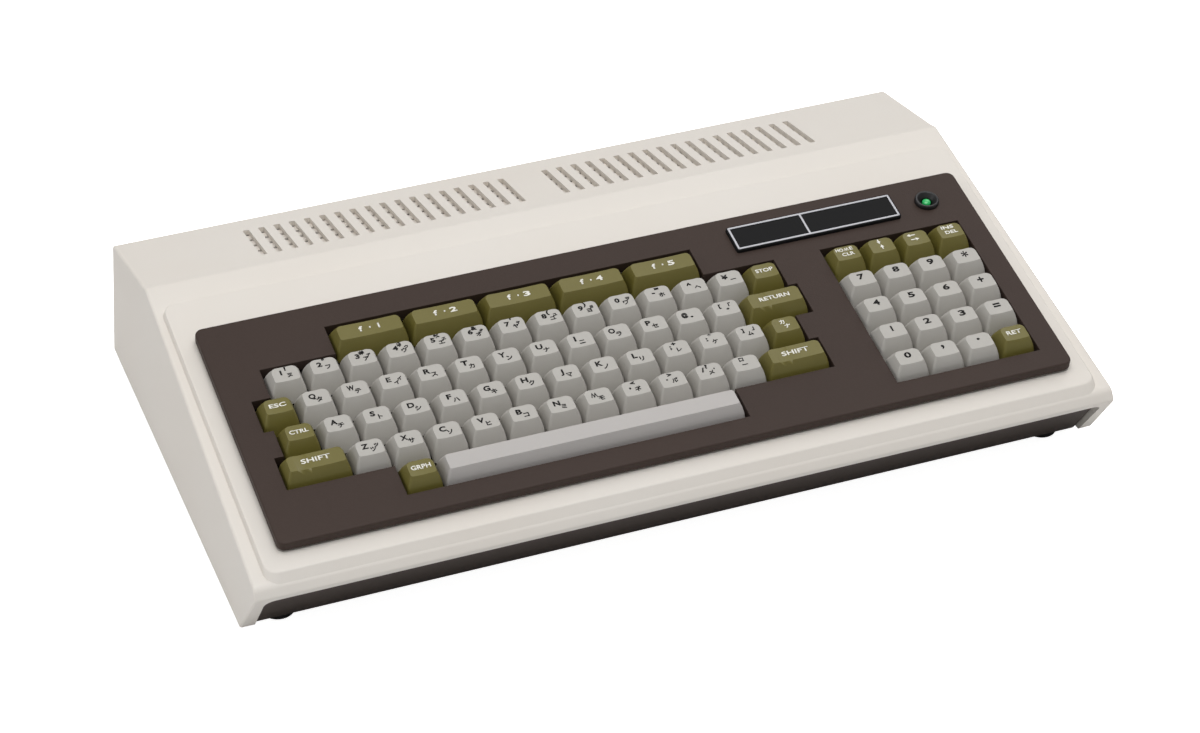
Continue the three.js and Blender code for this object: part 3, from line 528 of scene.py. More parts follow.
def modelVents():
    s = ventShape
    low, high = s["reach"]
    for side in (-1, 1):
        left, right = (side * s["first"] + half * s["width"] for half in (-0.5, 0.5))
        cutter = block("ventCutter", (left, s["front"], low), (right, s["front"] + s["length"], high))
        roundCorners(cutter, s["corner"], 2)
        repeat(cutter, s["count"], side * s["pitch"])
        cutWith(cover, cutter)
    # slats under the slots, square to the rear deck
    rear, rearTop = coverShape["rear"], coverShape["rearTop"]
    lipY, lipZ = coverShape["lip"]
    fall = math.atan((lipZ - rearTop) / (rear - lipY))
    rearPlace = shift(0, rear, rearTop) @ Matrix.Rotation(-fall, 4, "X")
    slats = []
    for side in (-1, 1):
        left, right = sorted(side * (s["first"] + k * s["pitch"]) for k in (-0.5, s["count"] - 0.5))
        for i in range(s["slats"]):
            near = (s["front"] - s["slatLead"] + i * s["slatPitch"] - rear) / math.cos(fall)
            far = near + (s["slatPitch"] - s["slatGap"]) / math.cos(fall)
            slat = block("ventSlat", (left, near, -s["recess"] - s["slatDepth"]), (right, far, -s["recess"]))
            slats.append(settle(slat, rearPlace))
    return slats


def openRear():
    s = windowShape
    half = s["halfWidth"]
    cutWith(cover, block("windowCutter", (-half, s["front"], s["low"]), (half, s["rear"], s["top"])))


openRear()
joinInto(cover, [panel] + modelVents())
cover.name = "coverMoulding"
smooth(cover, 32)
dress(cover, creamPlastic, "cream_plastic", "case", "top_cover")
print("cover with vents")

# the rows of keys in the plane of the deck; places in a row count in pitches from the Q key
keyLayout = {
    "pitch": 18.44,
    "qKey": -154.97,
    "keypad": 119.0,
    "topRow": -2.76,
    "topLevel": 14.2,
    "height": 11.0,
    "capFoot": 17.2,
}


def rowAt(row):
    return keyLayout["topRow"] - row * keyLayout["pitch"]


def mainAt(pitches):
    return keyLayout["qKey"] + pitches * keyLayout["pitch"]


def keypadAt(column):
    return keyLayout["keypad"] + column * keyLayout["pitch"]


bezelShape = {
    "halfWidth": 196.0,
    "front": -116.3,
    "rear": 23.8,
    "low": 3.7,
    "foot": 1.2,
    "footInset": 1.7,
    "top": 9.3,
    "corner": 4.0,
    "edge": 0.9,
    "wellEdge": 0.35,
    "sideGap": 0.9,
    "frontGap": 0.7,
    "rearGap": 2.2,
    "wellReach": (-1.0, 14.0),
    # the left and right end of each row's well, in keys
    "wells": ((1, 11), (-1, 13), (-1.5, 13.25), (-1.25, 12.75), (-1.5, 13), (1.25, 10.25)),
    "outerBand": 2.0,
}
lampShape = {
    "x": 174.4,
    "along": 6.2,
    "hole": (3.8, 20.0, 8.0),  # radius, length and middle of what is cut out
    "ring": 6.2,
    "mouth": 4.7,
    "stem": 3.4,
    "bore": 2.9,
    "height": 2.2,
    "depth": 3.0,
    "lens": 2.15,
    "lensSink": 0.2,
    "dome": 0.55,
}


def modelBezel():
    s = bezelShape
    # the walls stop short of the panel and stand on a narrower foot, which leaves a dark line
    half, wallLow = s["halfWidth"], s["low"] + s["foot"]
    bezel = block("keyboardSurround", (-half, s["front"], wallLow), (half, s["rear"], s["top"]))
    roundCorners(bezel, s["corner"])
    pushFace(bezel, lambda c, n: n.z < -facing, s["footInset"], s["foot"])
    bevelEdges(bezel, s["edge"], 3, over(s["top"]))
    halfCap = keyLayout["capFoot"] / 2
    margin = (keyLayout["pitch"] - keyLayout["capFoot"]) / 2 - s["sideGap"]
    low, high = s["wellReach"]
    # the keypad shares one well over five rows
    wells = [(row, row, mainAt(left), mainAt(right)) for row, (left, right) in enumerate(s["wells"])]
    wells.append((1, 5, keypadAt(-0.5), keypadAt(3.5)))
    for near, far, left, right in wells:
        cutter = block(
            "wellCutter", (left + margin, rowAt(far) - halfCap - s["frontGap"], low),
            (right - margin, rowAt(near) + halfCap + s["rearGap"], high),
        )
        cutWith(bezel, cutter)
    radius, length, middle = lampShape["hole"]
    cutWith(bezel, rod("lampHole", radius, length, (lampShape["x"], lampShape["along"], middle)))
    mergeFlat(bezel)
    band = s["outerBand"]

    def wellTop(a, b):
        flat = min(a.z, b.z) > s["top"] - touch
        straight = abs(a.x - b.x) < touch or abs(a.y - b.y) < touch
        inside = max(abs(a.x), abs(b.x)) < half - band and max(a.y, b.y) < s["rear"] - band
        return flat and straight and inside and min(a.y, b.y) > s["front"] + band

    bevelEdges(bezel, s["wellEdge"], 2, wellTop)
    smooth(bezel, 32)
    return settle(bezel, deckPlace)


bezel = modelBezel()
dress(bezel, bezelPlastic, "bezel_plastic", "case", "keyboard_bezel")
print("keyboard surround")


def turned(name, outline):  # spins a side view of (radius, height) round the upright axis
    mesh = bpy.data.meshes.new(name)
    edges = [(i, i + 1) for i in range(len(outline) - 1)]
    mesh.from_pydata([(r * mm, 0, z * mm) for r, z in outline], edges, [])
    obj = newObject(name, mesh)
    editAll(obj)
    bpy.ops.mesh.spin(steps=roundSteps, angle=2 * math.pi, center=(0, 0, 0), axis=(0, 0, 1))
    bpy.ops.mesh.select_all(action="SELECT")
    bpy.ops.mesh.remove_doubles(threshold=touch * mm)
    bpy.ops.mesh.normals_make_consistent(inside=False)
    toObject()
    return obj


def modelLamp():
    s = lampShape
    top = bezelShape["top"]
    low, rim = top - s["depth"], top + s["height"]
    place = deckPlace @ shift(s["x"], s["along"], 0)
    ring = turned("lampRing", [
        (s["bore"], low), (s["stem"], low), (s["stem"], top + 0.3), (s["ring"] - 0.1, top + 0.3),
        (s["ring"], top + 0.8), (s["ring"] - 0.25, rim - 0.35), (s["ring"] - 0.6, rim),
        (s["mouth"] + 0.3, rim), (s["mouth"], rim - 0.15), (s["bore"] + 0.2, top + 0.2),
        (s["bore"], top - 0.4), (s["bore"], low),
    ])
    smooth(ring)
    settle(ring, place)
    dress(ring, blackPlastic, "black_plastic", "case", "lamp_ring")
    shoulder, dome = top - s["lensSink"], s["dome"] * s["lens"]
    angles = [math.pi / 2 * k / 6 for k in range(6)]
    curve = [(s["lens"] * math.cos(a), shoulder + dome * math.sin(a)) for a in angles]
    lens = turned("lampLens", [(0, low), (s["lens"], low)] + curve + [(0, shoulder + dome)])
    smooth(lens, 50)
    settle(lens, place)
    dress(lens, lampGreen, "green_lens", "case", "power_lamp")


modelLamp()

badgeShape = {
    "x": 113.6,
    "along": 7.05,
    "width": 87.8,
    "depth": 16.9,
    "low": 9.35,
    "top": 11.1,
    "corner": 1.4,
    "edge": 0.45,
    "lineInset": 0.75,
    "line": 0.95,
    "lineHeight": 0.18,
    "lineCorner": 0.6,
    "lineSink": 0.1,
    "fieldSink": 0.05,
    "divider": -4.9,
}


def modelBadge():
    s = badgeShape
    x, y, top = s["width"] / 2, s["depth"] / 2, s["top"]
    plate = block("badgeBody", (-x, -y, s["low"]), (x, y, top))
    roundCorners(plate, s["corner"], 4)
    bevelEdges(plate, s["edge"], 3, over(top))
    smooth(plate, 32)
    plate.data.materials.append(badgeBlack)
    # a raised silver outline, and a bar between the two bare fields
    x, y = x - s["lineInset"], y - s["lineInset"]
    low, high = top - s["lineSink"], top + s["lineHeight"]  # the divider ends a touch lower
    outline = block("badgeOutline", (-x, -y, low), (x, y, high))
    roundCorners(outline, s["lineCorner"], 3)
    pushFace(outline, lambda c, n: n.z > facing, s["line"], s["lineHeight"] + s["fieldSink"])
    half = s["line"] / 2
    left, right = s["divider"] - half, s["divider"] + half
    bar = block("badgeBar", (left, half - y, low), (right, y - half, high - touch))
    joinInto(outline, [bar])
    outline.data.materials.append(silverPaint)
    joinInto(plate, [outline])
    for face in plate.data.polygons:  # the fields inside the outline stay black
        if abs(face.center.z / mm - (top - s["fieldSink"])) < 0.02 and face.normal.z > facing:
            face.material_index = 0
    settle(plate, deckPlace @ shift(s["x"], s["along"], 0))
    wear(plate, "black_plastic", "case", "badge_plate")


modelBadge()
print("badge and lamp")

# key caps: each kind is modelled once and copied
capShape = {
    "base": 17.4,
    "topWidth": 12.2,
    "frontCorner": (2.2, 0.9),  # at the foot and at the top
    "rearCorner": 0.7,
    "sideBulge": 0.75,
    "endBulge": 0.4,
    "rim": 0.95,
    "frontRimShare": 0.45,
    "footShare": 0.35,
    "footBand": 1.25,
    "hollow": 8.4,
    "hollowTaper": 2.0,
    "hollowShift": 0.6,
    "wall": 1.3,
}
capKinds = {
    "one": {"units": 1, "frontLean": 5.0, "topDepth": 9.1, "dish": 0.45, "topCorner": 3.0},
    "wide": {"units": 1.75, "frontLean": 5.0, "topDepth": 9.1, "dish": 0.35, "topCorner": 2.4},
    "double": {"units": 2, "frontLean": 4.2, "topDepth": 9.1, "dish": 0.35, "topCorner": 2.4},
    "bar": {"units": 8, "frontLean": 4.4, "topDepth": 9.0, "dish": 0, "topCorner": 1.5},
}


def outlineAt(share, halfBase, frontLean, backLean):
    s = capShape
    sideLean = (s["base"] - s["topWidth"]) / 2
    swell = 4 * share * (1 - share)
    half = halfBase - sideLean * share + s["sideBulge"] * swell
    front = -s["base"] / 2 + frontLean * share - s["endBulge"] * swell
    back = s["base"] / 2 - backLean * share + s["endBulge"] * swell
    return half, front, back


def modelCap(kind):
    s = capShape
    height = keyLayout["height"]
    units, frontLean, topDepth, dish, topCorner = capKinds[kind].values()
    halfBase = (units * keyLayout["pitch"] - (keyLayout["pitch"] - s["base"])) / 2
    topHalf = halfBase - (s["base"] - s["topWidth"]) / 2
    backLean = s["base"] - frontLean - topDepth
    cap = sheet()
    cap.name = "cap" + kind.capitalize()
    editAll(cap)
    bpy.ops.mesh.delete(type="VERT")
    toObject()
    for share in (0, 0.25, 0.5, 0.75, 1):
        half, front, back = outlineAt(share, halfBase, frontLean, backLean)
        level, middle = share * height, (front + back) / 2
        pick(cap, "VERT", lambda v: False)  # a new outline is drawn inside the same piece
        bpy.ops.mesh.primitive_plane_add(size=1)
        bpy.ops.transform.resize(value=(2 * half * mm, (back - front) * mm, 1), center_override=(0, 0, 0))
        bpy.ops.transform.translate(value=(0, middle * mm, level * mm))
        toObject()
        for side, (low, high) in ((-1, s["frontCorner"]), (1, (s["rearCorner"], topCorner))):
            pick(cap, "VERT", lambda v: abs(v.z - level) < touch and side * (v.y - middle) > 0)
            bpy.ops.mesh.bevel(
                offset=(low + (high - low) * share) * mm, segments=5, affect="VERTICES", clamp_overlap=False,
            )
            toObject()
    pick(cap, "VERT", lambda v: True)
    bpy.ops.mesh.delete(type="ONLY_FACE")
    bpy.ops.mesh.select_mode(type="EDGE")
    bpy.ops.mesh.select_all(action="SELECT")
    bpy.ops.mesh.bridge_edge_loops(type="SINGLE")
    toObject()
    # close the top, cut it into strips and press the dish into them
    pick(cap, "EDGE", lambda a, b: min(a.z, b.z) > height - touch)
    bpy.ops.mesh.edge_face_add()
    toObject()
    if dish:
        for station in range(-3, 4):
            pick(cap, "VERT", lambda v: True)
            bpy.ops.mesh.bisect(plane_co=(station / 4 * topHalf * mm, 0, 0), plane_no=(1, 0, 0))
            toObject()
        levels = sorted({round(v.co.x / mm, 3) for v in cap.data.vertices if v.co.z > (height - touch) * mm})
        for level in levels:
            depth = dish * (1 - (level / topHalf) ** 2)
            pick(cap, "VERT", lambda v: v.z > height - 1 and abs(v.x - level) < 0.002)
            bpy.ops.transform.translate(value=(0, 0, -depth * mm))
            toObject()
    # the underside is hollow
    pick(cap, "EDGE", lambda a, b: max(a.z, b.z) < touch)
    bpy.ops.mesh.edge_face_add()
    bpy.ops.mesh.select_mode(type="FACE")
    bpy.ops.mesh.inset(thickness=s["wall"] * mm)
    bpy.ops.mesh.extrude_region_move(
        TRANSFORM_OT_translate={"value": (0, s["hollowShift"] * mm, s["hollow"] * mm)},
    )
    bpy.ops.transform.resize(value=((topHalf - s["hollowTaper"]) / (halfBase - s["wall"]), 0.5, 1))
    bpy.ops.mesh.select_all(action="SELECT")
    bpy.ops.mesh.normals_make_consistent(inside=False)
    toObject()
    # a crisp front rim, softer sides and rear
    frontEdge = -s["base"] / 2 + frontLean + 0.5

    def onRim(a, b):
        strip = abs(a.x - b.x) < touch and abs(a.x) < topHalf - 0.1
        return min(a.z, b.z) > height - dish - 0.05 and not strip

    def onFoot(a, b):
        halfX, halfY = halfBase - s["footBand"], s["base"] / 2 - s["footBand"]
        return max(a.z, b.z) < touch and all(abs(v.x) > halfX or abs(v.y) > halfY for v in (a, b))

    def weigh(test, value):
        pick(cap, "EDGE", test)
        bpy.ops.transform.edge_bevelweight(value=value)
        toObject()

    weigh(lambda a, b: onRim(a, b) and max(a.y, b.y) < frontEdge, s["frontRimShare"])
    weigh(lambda a, b: onRim(a, b) and max(a.y, b.y) >= frontEdge, 1)
    weigh(onFoot, s["footShare"])
    modify(cap, "rim", "BEVEL", width=s["rim"] * mm, segments=3, limit_method="WEIGHT")
    smooth(cap, 50)
    return cap


stemShape = {"half": 2.0, "low": -7.8, "high": 9.4, "edge": 0.3, "barPosts": (-50, 0, 50)}


def postsOf(kind):  # the space bar stands on three posts
    return stemShape["barPosts"] if kind == "bar" else (0,)


def addStems():
    s = stemShape
    stemBlock = block("capStem", (-s["half"], -s["half"], s["low"]), (s["half"], s["half"], s["high"]))
    softEdges(stemBlock, s["edge"], 1)
    for kind, cap in caps.items():
        stems = []
        for x in postsOf(kind):
            stem = duplicateOf(stemBlock)
            bpy.ops.transform.translate(value=(x * mm, 0, 0))
            stems.append(settle(stem))
        joinInto(cap, stems)
    bpy.data.objects.remove(stemBlock)


caps = {kind: modelCap(kind) for kind in capKinds}
addStems()
print("cap shapes")

legendShape = {
    "capitalShare": 0.682,  # height of a capital in the font, for size 1
    "kanaShare": 0.81,
    "kanaMiddle": 0.38,
    "wide": 1.25,
    "widest": 3.3,
    "bold": 0.15,
    "wordBold": 0.08,
    "kanaBold": 0.1,
    "arrowHead": 1.15,
    "arrowShaft": 0.6,
    "above": 0.11,
    "thickness": 0.17,
    "rightShift": 0.6,  # the marks of the last letter keys of a row sit further left
}


def arrow(text, x, y, length):  # a flat shaft with a head, drawn pointing up and turned
    s = legendShape
    deselect()
    bpy.ops.mesh.primitive_circle_add(vertices=3, radius=s["arrowHead"] * mm, fill_type="NGON")
    head = bpy.context.object
    head.location = (0, (length / 2 - s["arrowHead"]) * mm, 0)
    settle(head)
    low = min(v.co.y for v in head.data.vertices) / mm
    shaft = sheet()
    shaft.scale = (s["arrowShaft"] * mm, (low + length / 2) * mm, 1)
    shaft.location = (0, (low - length / 2) / 2 * mm, 0)
    settle(shaft)
    mark = joinInto(head, [shaft])
    mark.rotation_euler = (0, 0, math.pi / 2 * "↑←↓→".index(text))
    mark.location = (x * mm, y * mm, (keyLayout["height"] + 1) * mm)
    return mark


def glyph(text, x, y, height, width=None):  # a flat mark over the cap; a width makes it fit
    if text in "↑←↓→":
        return arrow(text, x, y, height)
    s = legendShape
    kana = ord(text[0]) > 0x3000
    upturned = text == "M"  # a W turned round fills better
    size = height / (s["kanaShare"] if kana else s["capitalShare"])
    deselect()
    bpy.ops.object.text_add()
    obj = bpy.context.object
    obj.data.body = "W" if upturned else text
    obj.data.size = size * mm
    obj.data.align_x = "CENTER"
    obj.data.resolution_u = 3
    words = len(text) > 1 or text in "ME"
    obj.data.offset = s["kanaBold" if kana or text == "*" else "wordBold" if words else "bold"] * mm
    bpy.ops.object.convert(target="MESH")
    obj = bpy.context.object
    across = [v.co.x / mm for v in obj.data.vertices]
    upward = [v.co.y / mm for v in obj.data.vertices]
    reach = max(across) - min(across)
    if kana and not width:
        stretch, middle, level = 1, 0, s["kanaMiddle"] * size
    else:
        stretch = (width or min(reach * s["wide"], s["widest"])) / reach
        middle = (max(across) + min(across)) / 2
        level = (max(upward) + min(upward)) / 2 if width else height / 2
    way = -1 if upturned else 1
    obj.scale = (stretch, 1, 1)
    obj.rotation_euler = (0, 0, math.pi if upturned else 0)
    obj.location = ((x - way * middle * stretch) * mm, (y - way * level) * mm, (keyLayout["height"] + 1) * mm)
    return obj


def legendOf(marks, cap, lift):  # laid onto the cap's own surface, with a little thickness
    made = [glyph(sign, left, up + lift, *rest) for sign, left, up, *rest in marks]
    legend = joinInto(made[0], made[1:]) if len(made) > 1 else made[0]
    settle(legend)
    editAll(legend)
    bpy.ops.mesh.quads_convert_to_tris()
    bpy.ops.mesh.subdivide(number_cuts=1)
    toObject()
    modify(
        legend, "wrap", "SHRINKWRAP", target=cap, wrap_method="PROJECT", use_project_z=True,
        use_positive_direction=False, use_negative_direction=True, offset=legendShape["above"] * mm,
    )
    modify(legend, "layer", "SOLIDIFY", thickness=legendShape["thickness"] * mm, offset=-1)
    return legend


def letterMarks(letter, kana, right=0):
    return [(letter, -1.75 - right, 1.0, 2.8), (kana, 1.15 - right, -1.4, 2.7)]


def smallMarks(letter, kana, small, right=0):
    return [
        (letter, -1.95 - right, 0.9, 2.8), (kana, 1.5 - right, -1.4, 2.6), (small, 3.4 - right, 0.9, 2.3),
    ]


def signMarks(sign, upper, kana, extra=""):
    marks = [(sign, -2.6, 1.4, 2.6), (upper, -0.5, 3.1, 2.1), (kana, 0.9, -0.9, 2.5)]
    if extra:
        marks.append((extra, 2.8, 1.0, 2.2))
    return marks


def digitMarks(digit, upper, kana, small=""):
    marks = [(digit, -1.9, 1.1, 2.6), (kana, 1.8, -1.1, 2.5)]
    if upper != " ":
        marks.append((upper, 0.5, 3.2, 2.1))
    if small:
        marks.append((small, 3.4, 1.0, 2.0))
    return marks


def wordMarks(*lines):
    if len(lines) == 1:
        text, width, height = lines[0]
        return [(text, 0, 0.3, height, width)]
    (upper, upperWidth, height), (lower, lowerWidth, lowerHeight) = lines
    return [(upper, -0.4, 2.5, height, upperWidth), (lower, 0.5, -0.9, lowerHeight, lowerWidth)]


padSizes = {
    "1": (0.8, 3.2), "*": (3.3, 6.0), "+": (3.3, 4.6), "=": (3.6, 5.0), ",": (1.5, 6.4), ".": (1.6, 5.6),
}


def padMarks(sign):
    width, height = padSizes.get(sign, (3.4, 3.2))
    return [(sign, 0, 1.1, height, width)]


def functionMarks(digit):
    width = 0.8 if digit == "1" else 3.4
    return [("f", -4.2, 0.3, 3.0, 2.0), ("·", 0.3, 0.3, 4.4, 0.8), (digit, 4.6, 0.3, 2.8, width)]


# each key: name, row, middle in millimetres, cap, colour, marks, body and the node that it stands for
keys = []


def addKey(name, row, x, kind, colour, marks, moves):
    body = name + "_key" if moves else "case"
    node = "key_" + name if moves else "switch_plate"
    keys.append((name, row, x, kind, colour, marks, body, node))


for i in range(5):
    addKey("function_%d" % (i + 1), 0, mainAt(2 + 2 * i), "double", "green", functionMarks(str(i + 1)), False)
digitRow = [  # digit, sign over it or a blank, syllable, small syllable
    "1!ヌ", "2\"フ", "3#アァ", "4$ウゥ", "5%エェ", "6&オォ", "7'ヤャ", "8(ユュ", "9)ヨョ", "0 ワヲ", "-=ホ", "^ ヘ", "¥ ー",
]
for i, marks in enumerate(digitRow):
    addKey("number_%d" % i, 1, mainAt(i - 0.5), "one", "grey", digitMarks(*marks), False)
addKey("stop", 1, mainAt(12.5), "one", "green", wordMarks(("STOP", 9.0, 2.2)), False)
letterRows = [  # row, first key, number of the first key with shifted marks, the keys
    (2, 0, 7, "Qタ Wテ Eイィ Rス Tカ Yン Uナ Iニ Oラ Pセ"),
    (3, 0.25, 8, "Aチ Sト Dシ Fハ Gキ Hク Jマ Kノ Lリ"),
    (4, 0.75, 8, "Zツッ Xサ Cソ Vヒ Bコ Nミ Mモ"),
]
for row, first, turn, letters in letterRows:
    for i, marks in enumerate(letters.split()):
        lay = smallMarks if len(marks) > 2 else letterMarks
        right = legendShape["rightShift"] if i >= turn else 0
        addKey(marks[0].lower(), row, mainAt(first + i), "one", "grey", lay(*marks, right), True)
signKeys = [
    ("at", 2, 10, [("@", -2.2, 1.0, 2.4), ("゛", 1.0, -0.8, 3.0, 1.4)]),
    ("bracket_open", 2, 11, [
        ("[", -2.4, 1.5, 2.0, 1.1), ("゜", 1.0, -0.8, 3.2, 1.5), ("「", 2.6, 1.8, 2.6, 1.3),
    ]),
    ("semicolon", 3, 9.25, signMarks(";", "+", "レ")),
    ("colon", 3, 10.25, signMarks(":", "*", "ケ")),
    ("bracket_close", 3, 11.25, [
        ("]", -2.6, 1.5, 2.0, 1.1), ("ム", 0.5, -0.7, 2.4), ("」", 2.6, 1.8, 2.6, 1.3),
    ]),
    ("comma", 4, 7.75, signMarks(",", "<", "ネ", "、")),
    ("period", 4, 8.75, signMarks(".", ">", "ル", "。")),
    ("slash", 4, 9.75, signMarks("/", "?", "メ", "・")),
    ("underscore", 4, 10.75, [("ロ", -1.3, 2.7, 2.4), ("_", -0.5, 0.9, 2.6)]),
]
for name, row, x, marks in signKeys:
    addKey(name, row, mainAt(x), "one", "grey", marks, True)
wordKeys = [
    ("escape", 2, -1, "one", wordMarks(("ESC", 8.0, 2.3))),
    ("return", 2, 12.375, "wide", wordMarks(("RETURN", 15.5, 2.3))),
    ("control", 3, -0.75, "one", wordMarks(("CTRL", 9.0, 2.2))),
    ("kana", 3, 12.25, "one", [("カ", -0.7, 1.9, 2.5), ("ナ", 0.9, -1.1, 2.5)]),
    ("shift_left", 4, -0.625, "wide", wordMarks(("SHIFT", 13.7, 2.6))),
    ("shift_right", 4, 12.125, "wide", wordMarks(("SHIFT", 13.7, 2.6))),
    ("graph", 5, 1.75, "one", wordMarks(("GRPH", 9.3, 2.5))),
]
for name, row, x, kind, marks in wordKeys:
    addKey(name, row, mainAt(x), kind, "green", marks, True)
addKey("space", 5, mainAt(6.25), "bar", "space", [], True)
padTop = [
    [
        ("HO", -2.85, 2.4, 2.0, 4.1), ("M", 0.75, 2.4, 2.0, 2.4), ("E", 3.15, 2.4, 2.0, 1.6),
        ("CLR", 0.5, -0.9, 2.0, 6.4),
    ],
    [("↓", -0.3, 2.7, 3.1), ("↑", 0.1, -1.0, 3.1)],
    [("←", -1.6, 2.3, 4.4), ("→", -0.5, -0.7, 4.4)],
    wordMarks(("INS", 6.6, 2.0), ("DEL", 6.6, 2.0)),
]
for column, marks in enumerate(padTop):
    addKey("pad_top_%d" % column, 1, keypadAt(column), "one", "green", marks, False)
for line, signs in enumerate(["789*", "456+", "123=", "0,."]):
    for column, sign in enumerate(signs):
        addKey("pad_%d_%d" % (line, column), 2 + line, keypadAt(column), "one", "grey", padMarks(sign), False)
addKey("pad_return", 5, keypadAt(3), "one", "green", wordMarks(("RET", 7.6, 2.4)), False)

# the space bar's cap plastic is lightened as painted light
capMaterials = {
    "grey": (greyCap, blackInk, "grey_caps"),
    "green": (greenCap, whiteInk, "green_caps"),
    "space": (spaceCapPaintedLight, blackInk, "space_cap"),
}


def placeKeys():
    baseLevel = keyLayout["topLevel"] - keyLayout["height"]
    for name, row, x, kind, colour, marks, body, node in keys:
        material, ink, slotName = capMaterials[colour]
        key = duplicateOf(caps[kind])
        key.name = "cap_" + name
        coat(key, material)
        if marks:
            topMiddle = capKinds[kind]["frontLean"] + (capKinds[kind]["topDepth"] - capShape["base"]) / 2
            legend = legendOf(marks, key, topMiddle)
            coat(legend, ink)
            joinInto(key, [legend])
        settle(key, deckPlace @ shift(x, rowAt(row), baseLevel))
        wear(key, slotName, body, node)
    for cap in caps.values():
        bpy.data.objects.remove(cap)


placeKeys()
print("keys placed:", len(keys))

# the plate under the keys, with a switch housing below each of them
switchShape = {
    "plate": ((-199, -118, -4.8), (199, 30, -3.3)),
    "size": 14.0,
    "top": -0.8,
    "deep": 10.6,
    "hole": 10.4,
    "holeReach": (-6.0, -2.0),
    "wall": 3.8,
    "well": 8.2,
    "edge": 0.4,
}


def modelSwitches():
    s = switchShape
    plate = block("switchPlate", *s["plate"])
    half = s["size"] / 2
    housing = block("switchHousing", (-half, -half, s["top"] - s["deep"]), (half, half, s["top"]))
    pushFace(housing, lambda c, n: n.z > facing, s["wall"], s["well"])
    softEdges(housing, s["edge"], 1)
    half = s["hole"] / 2
    low, high = s["holeReach"]
    hole = block("plateHole", (-half, -half, low), (half, half, high))
    housings, holes = [], []
    for name, row, x, kind, *rest in keys:
        for post in postsOf(kind):
            for first, copies in ((housing, housings), (hole, holes)):
                copy = duplicateOf(first)
                copy.location = ((x + post) * mm, rowAt(row) * mm, 0)
                copies.append(copy)
    bpy.data.objects.remove(housing)
    bpy.data.objects.remove(hole)
    cutWith(plate, joinInto(holes[0], holes[1:]))
    # the plate's near-black is painted shade in the wells under the caps
    plate.data.materials.append(platePaintedShade)
    switches = joinInto(housings[0], housings[1:])
    coat(switches, switchBlack)
    joinInto(plate, [switches])
    smooth(plate, 30)
    settle(plate, deckPlace)
    wear(plate, "plate_steel", "case", "switch_plate")


modelSwitches()
print("switches")


# merged copies of frame pieces, worked over one by one
def mergedCopy(node):
    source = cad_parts[node]
    obj = newObject("copy_" + node, source.data.copy())
    obj.matrix_world = source.matrix_world
    only(obj)
    bpy.ops.mesh.customdata_custom_splitnormals_clear()
    mergeFlat(obj)
    obj.data.materials.clear()
    return obj


def paint(obj, materials, chooser):  # a material for each face, chosen by the face's place
    for material in materials:
        obj.data.materials.append(material)
    for face in obj.data.polygons:
        face.material_index = chooser(face.center / mm, face.normal)


trayShape = {
    "edge": 1.2,
    "rearEdge": 0.5,
    "frontTop": 32.6,
    "floor": 5.0,
    "drop": 1.9,
    "rearFace": 126.5,
    "frontFace": -118.0,
    "corner": (203.0, -90.0),  # beyond this half width and in front of this line
}


def modelTray():
    s = trayShape
    tray = mergedCopy("bottom_tray")
    pick(tray, "VERT", lambda v: v.z < s["floor"] + 0.05)
    bpy.ops.transform.translate(value=(0, 0, -s["drop"] * mm))
    toObject()
    cornerX, cornerY = s["corner"]

    def outerEdge(a, b):
        frontTop = max(a.y, b.y) < s["frontFace"] and min(a.z, b.z) > s["frontTop"] - 0.1
        bottom = max(a.z, b.z) < s["floor"] - s["drop"] + 0.05 and (a - b).length > 100
        corner = abs(a.z - b.z) > 20 and min(abs(a.x), abs(b.x)) > cornerX and min(a.y, b.y) < cornerY
        return frontTop or bottom or corner

    bevelEdges(tray, s["edge"], 3, outerEdge, clamp=True)
    bevelEdges(tray, s["rearEdge"], 2, lambda a, b: min(a.y, b.y) > s["rearFace"] + 0.5, clamp=True)
    smooth(tray, 35)
    dress(tray, trayPlastic, "tray_plastic", "case", "bottom_tray")


modelTray()
print("tray")

footShape = {
    "x": 193.2,
    "front": -94.8,
    "rear": 100.0,
    "top": 4.7,
    "radius": 8.3,
    "foot": 7.6,
    "edge": 0.9,
    "hollow": 0.3,  # the middle of the foot stays this far above the table
}


def modelFeet():
    s = footShape
    outline = [
        (0, s["hollow"]), (s["foot"] - 2.2, s["hollow"]), (s["foot"] - 1.7, 0), (s["foot"] - s["edge"], 0),
        (s["foot"] - 0.25, 0.3), (s["foot"], s["edge"]), (s["radius"], s["top"]), (0, s["top"]),
    ]
    first = turned("rubberFoot", outline)
    smooth(first)
    for end in ("front", "rear"):
        for side, sign in (("left", -1), ("right", 1)):
            foot = duplicateOf(first)
            foot.name = "rubberFoot_%s_%s" % (end, side)
            settle(foot, shift(sign * s["x"], s[end], 0))
            dress(foot, footRubber, "foot_rubber", "case", "foot_%s_%s" % (end, side))
    bpy.data.objects.remove(first)


modelFeet()
print("feet")

boardShape = {
    "top": 15.6,
    "bottom": 14.0,
    "rear": 120.5,
    "tongues": ((-137.8, 29), (-52.1, 17)),
    "contactPitch": 2.54,
    "contact": (1.7, 7.0, 0.08),
    "contactStart": 0.3,
}


def modelBoard():
    s = boardShape
    board = mergedCopy("main_board")
    paint(board, (boardGreen, blackPlastic), lambda c, n: 1 if c.z > s["top"] + 0.05 else 0)
    wide, long, thick = s["contact"]
    strips = []
    for middle, count in s["tongues"]:
        for low, high in ((s["top"], s["top"] + thick), (s["bottom"] - thick, s["bottom"])):
            left = middle - (count - 1) / 2 * s["contactPitch"] - wide / 2
            front, rear = s["rear"] - long, s["rear"] - s["contactStart"]
            strip = block("goldContacts", (left, front, low), (left + wide, rear, high))
            repeat(strip, count, s["contactPitch"])
            strips.append(strip)
    joinInto(strips[0], strips[1:])
    strips[0].data.materials.append(goldContact)
    joinInto(board, [strips[0]])
    wear(board, "board_laminate", "case", "main_board")


modelBoard()
print("main board")

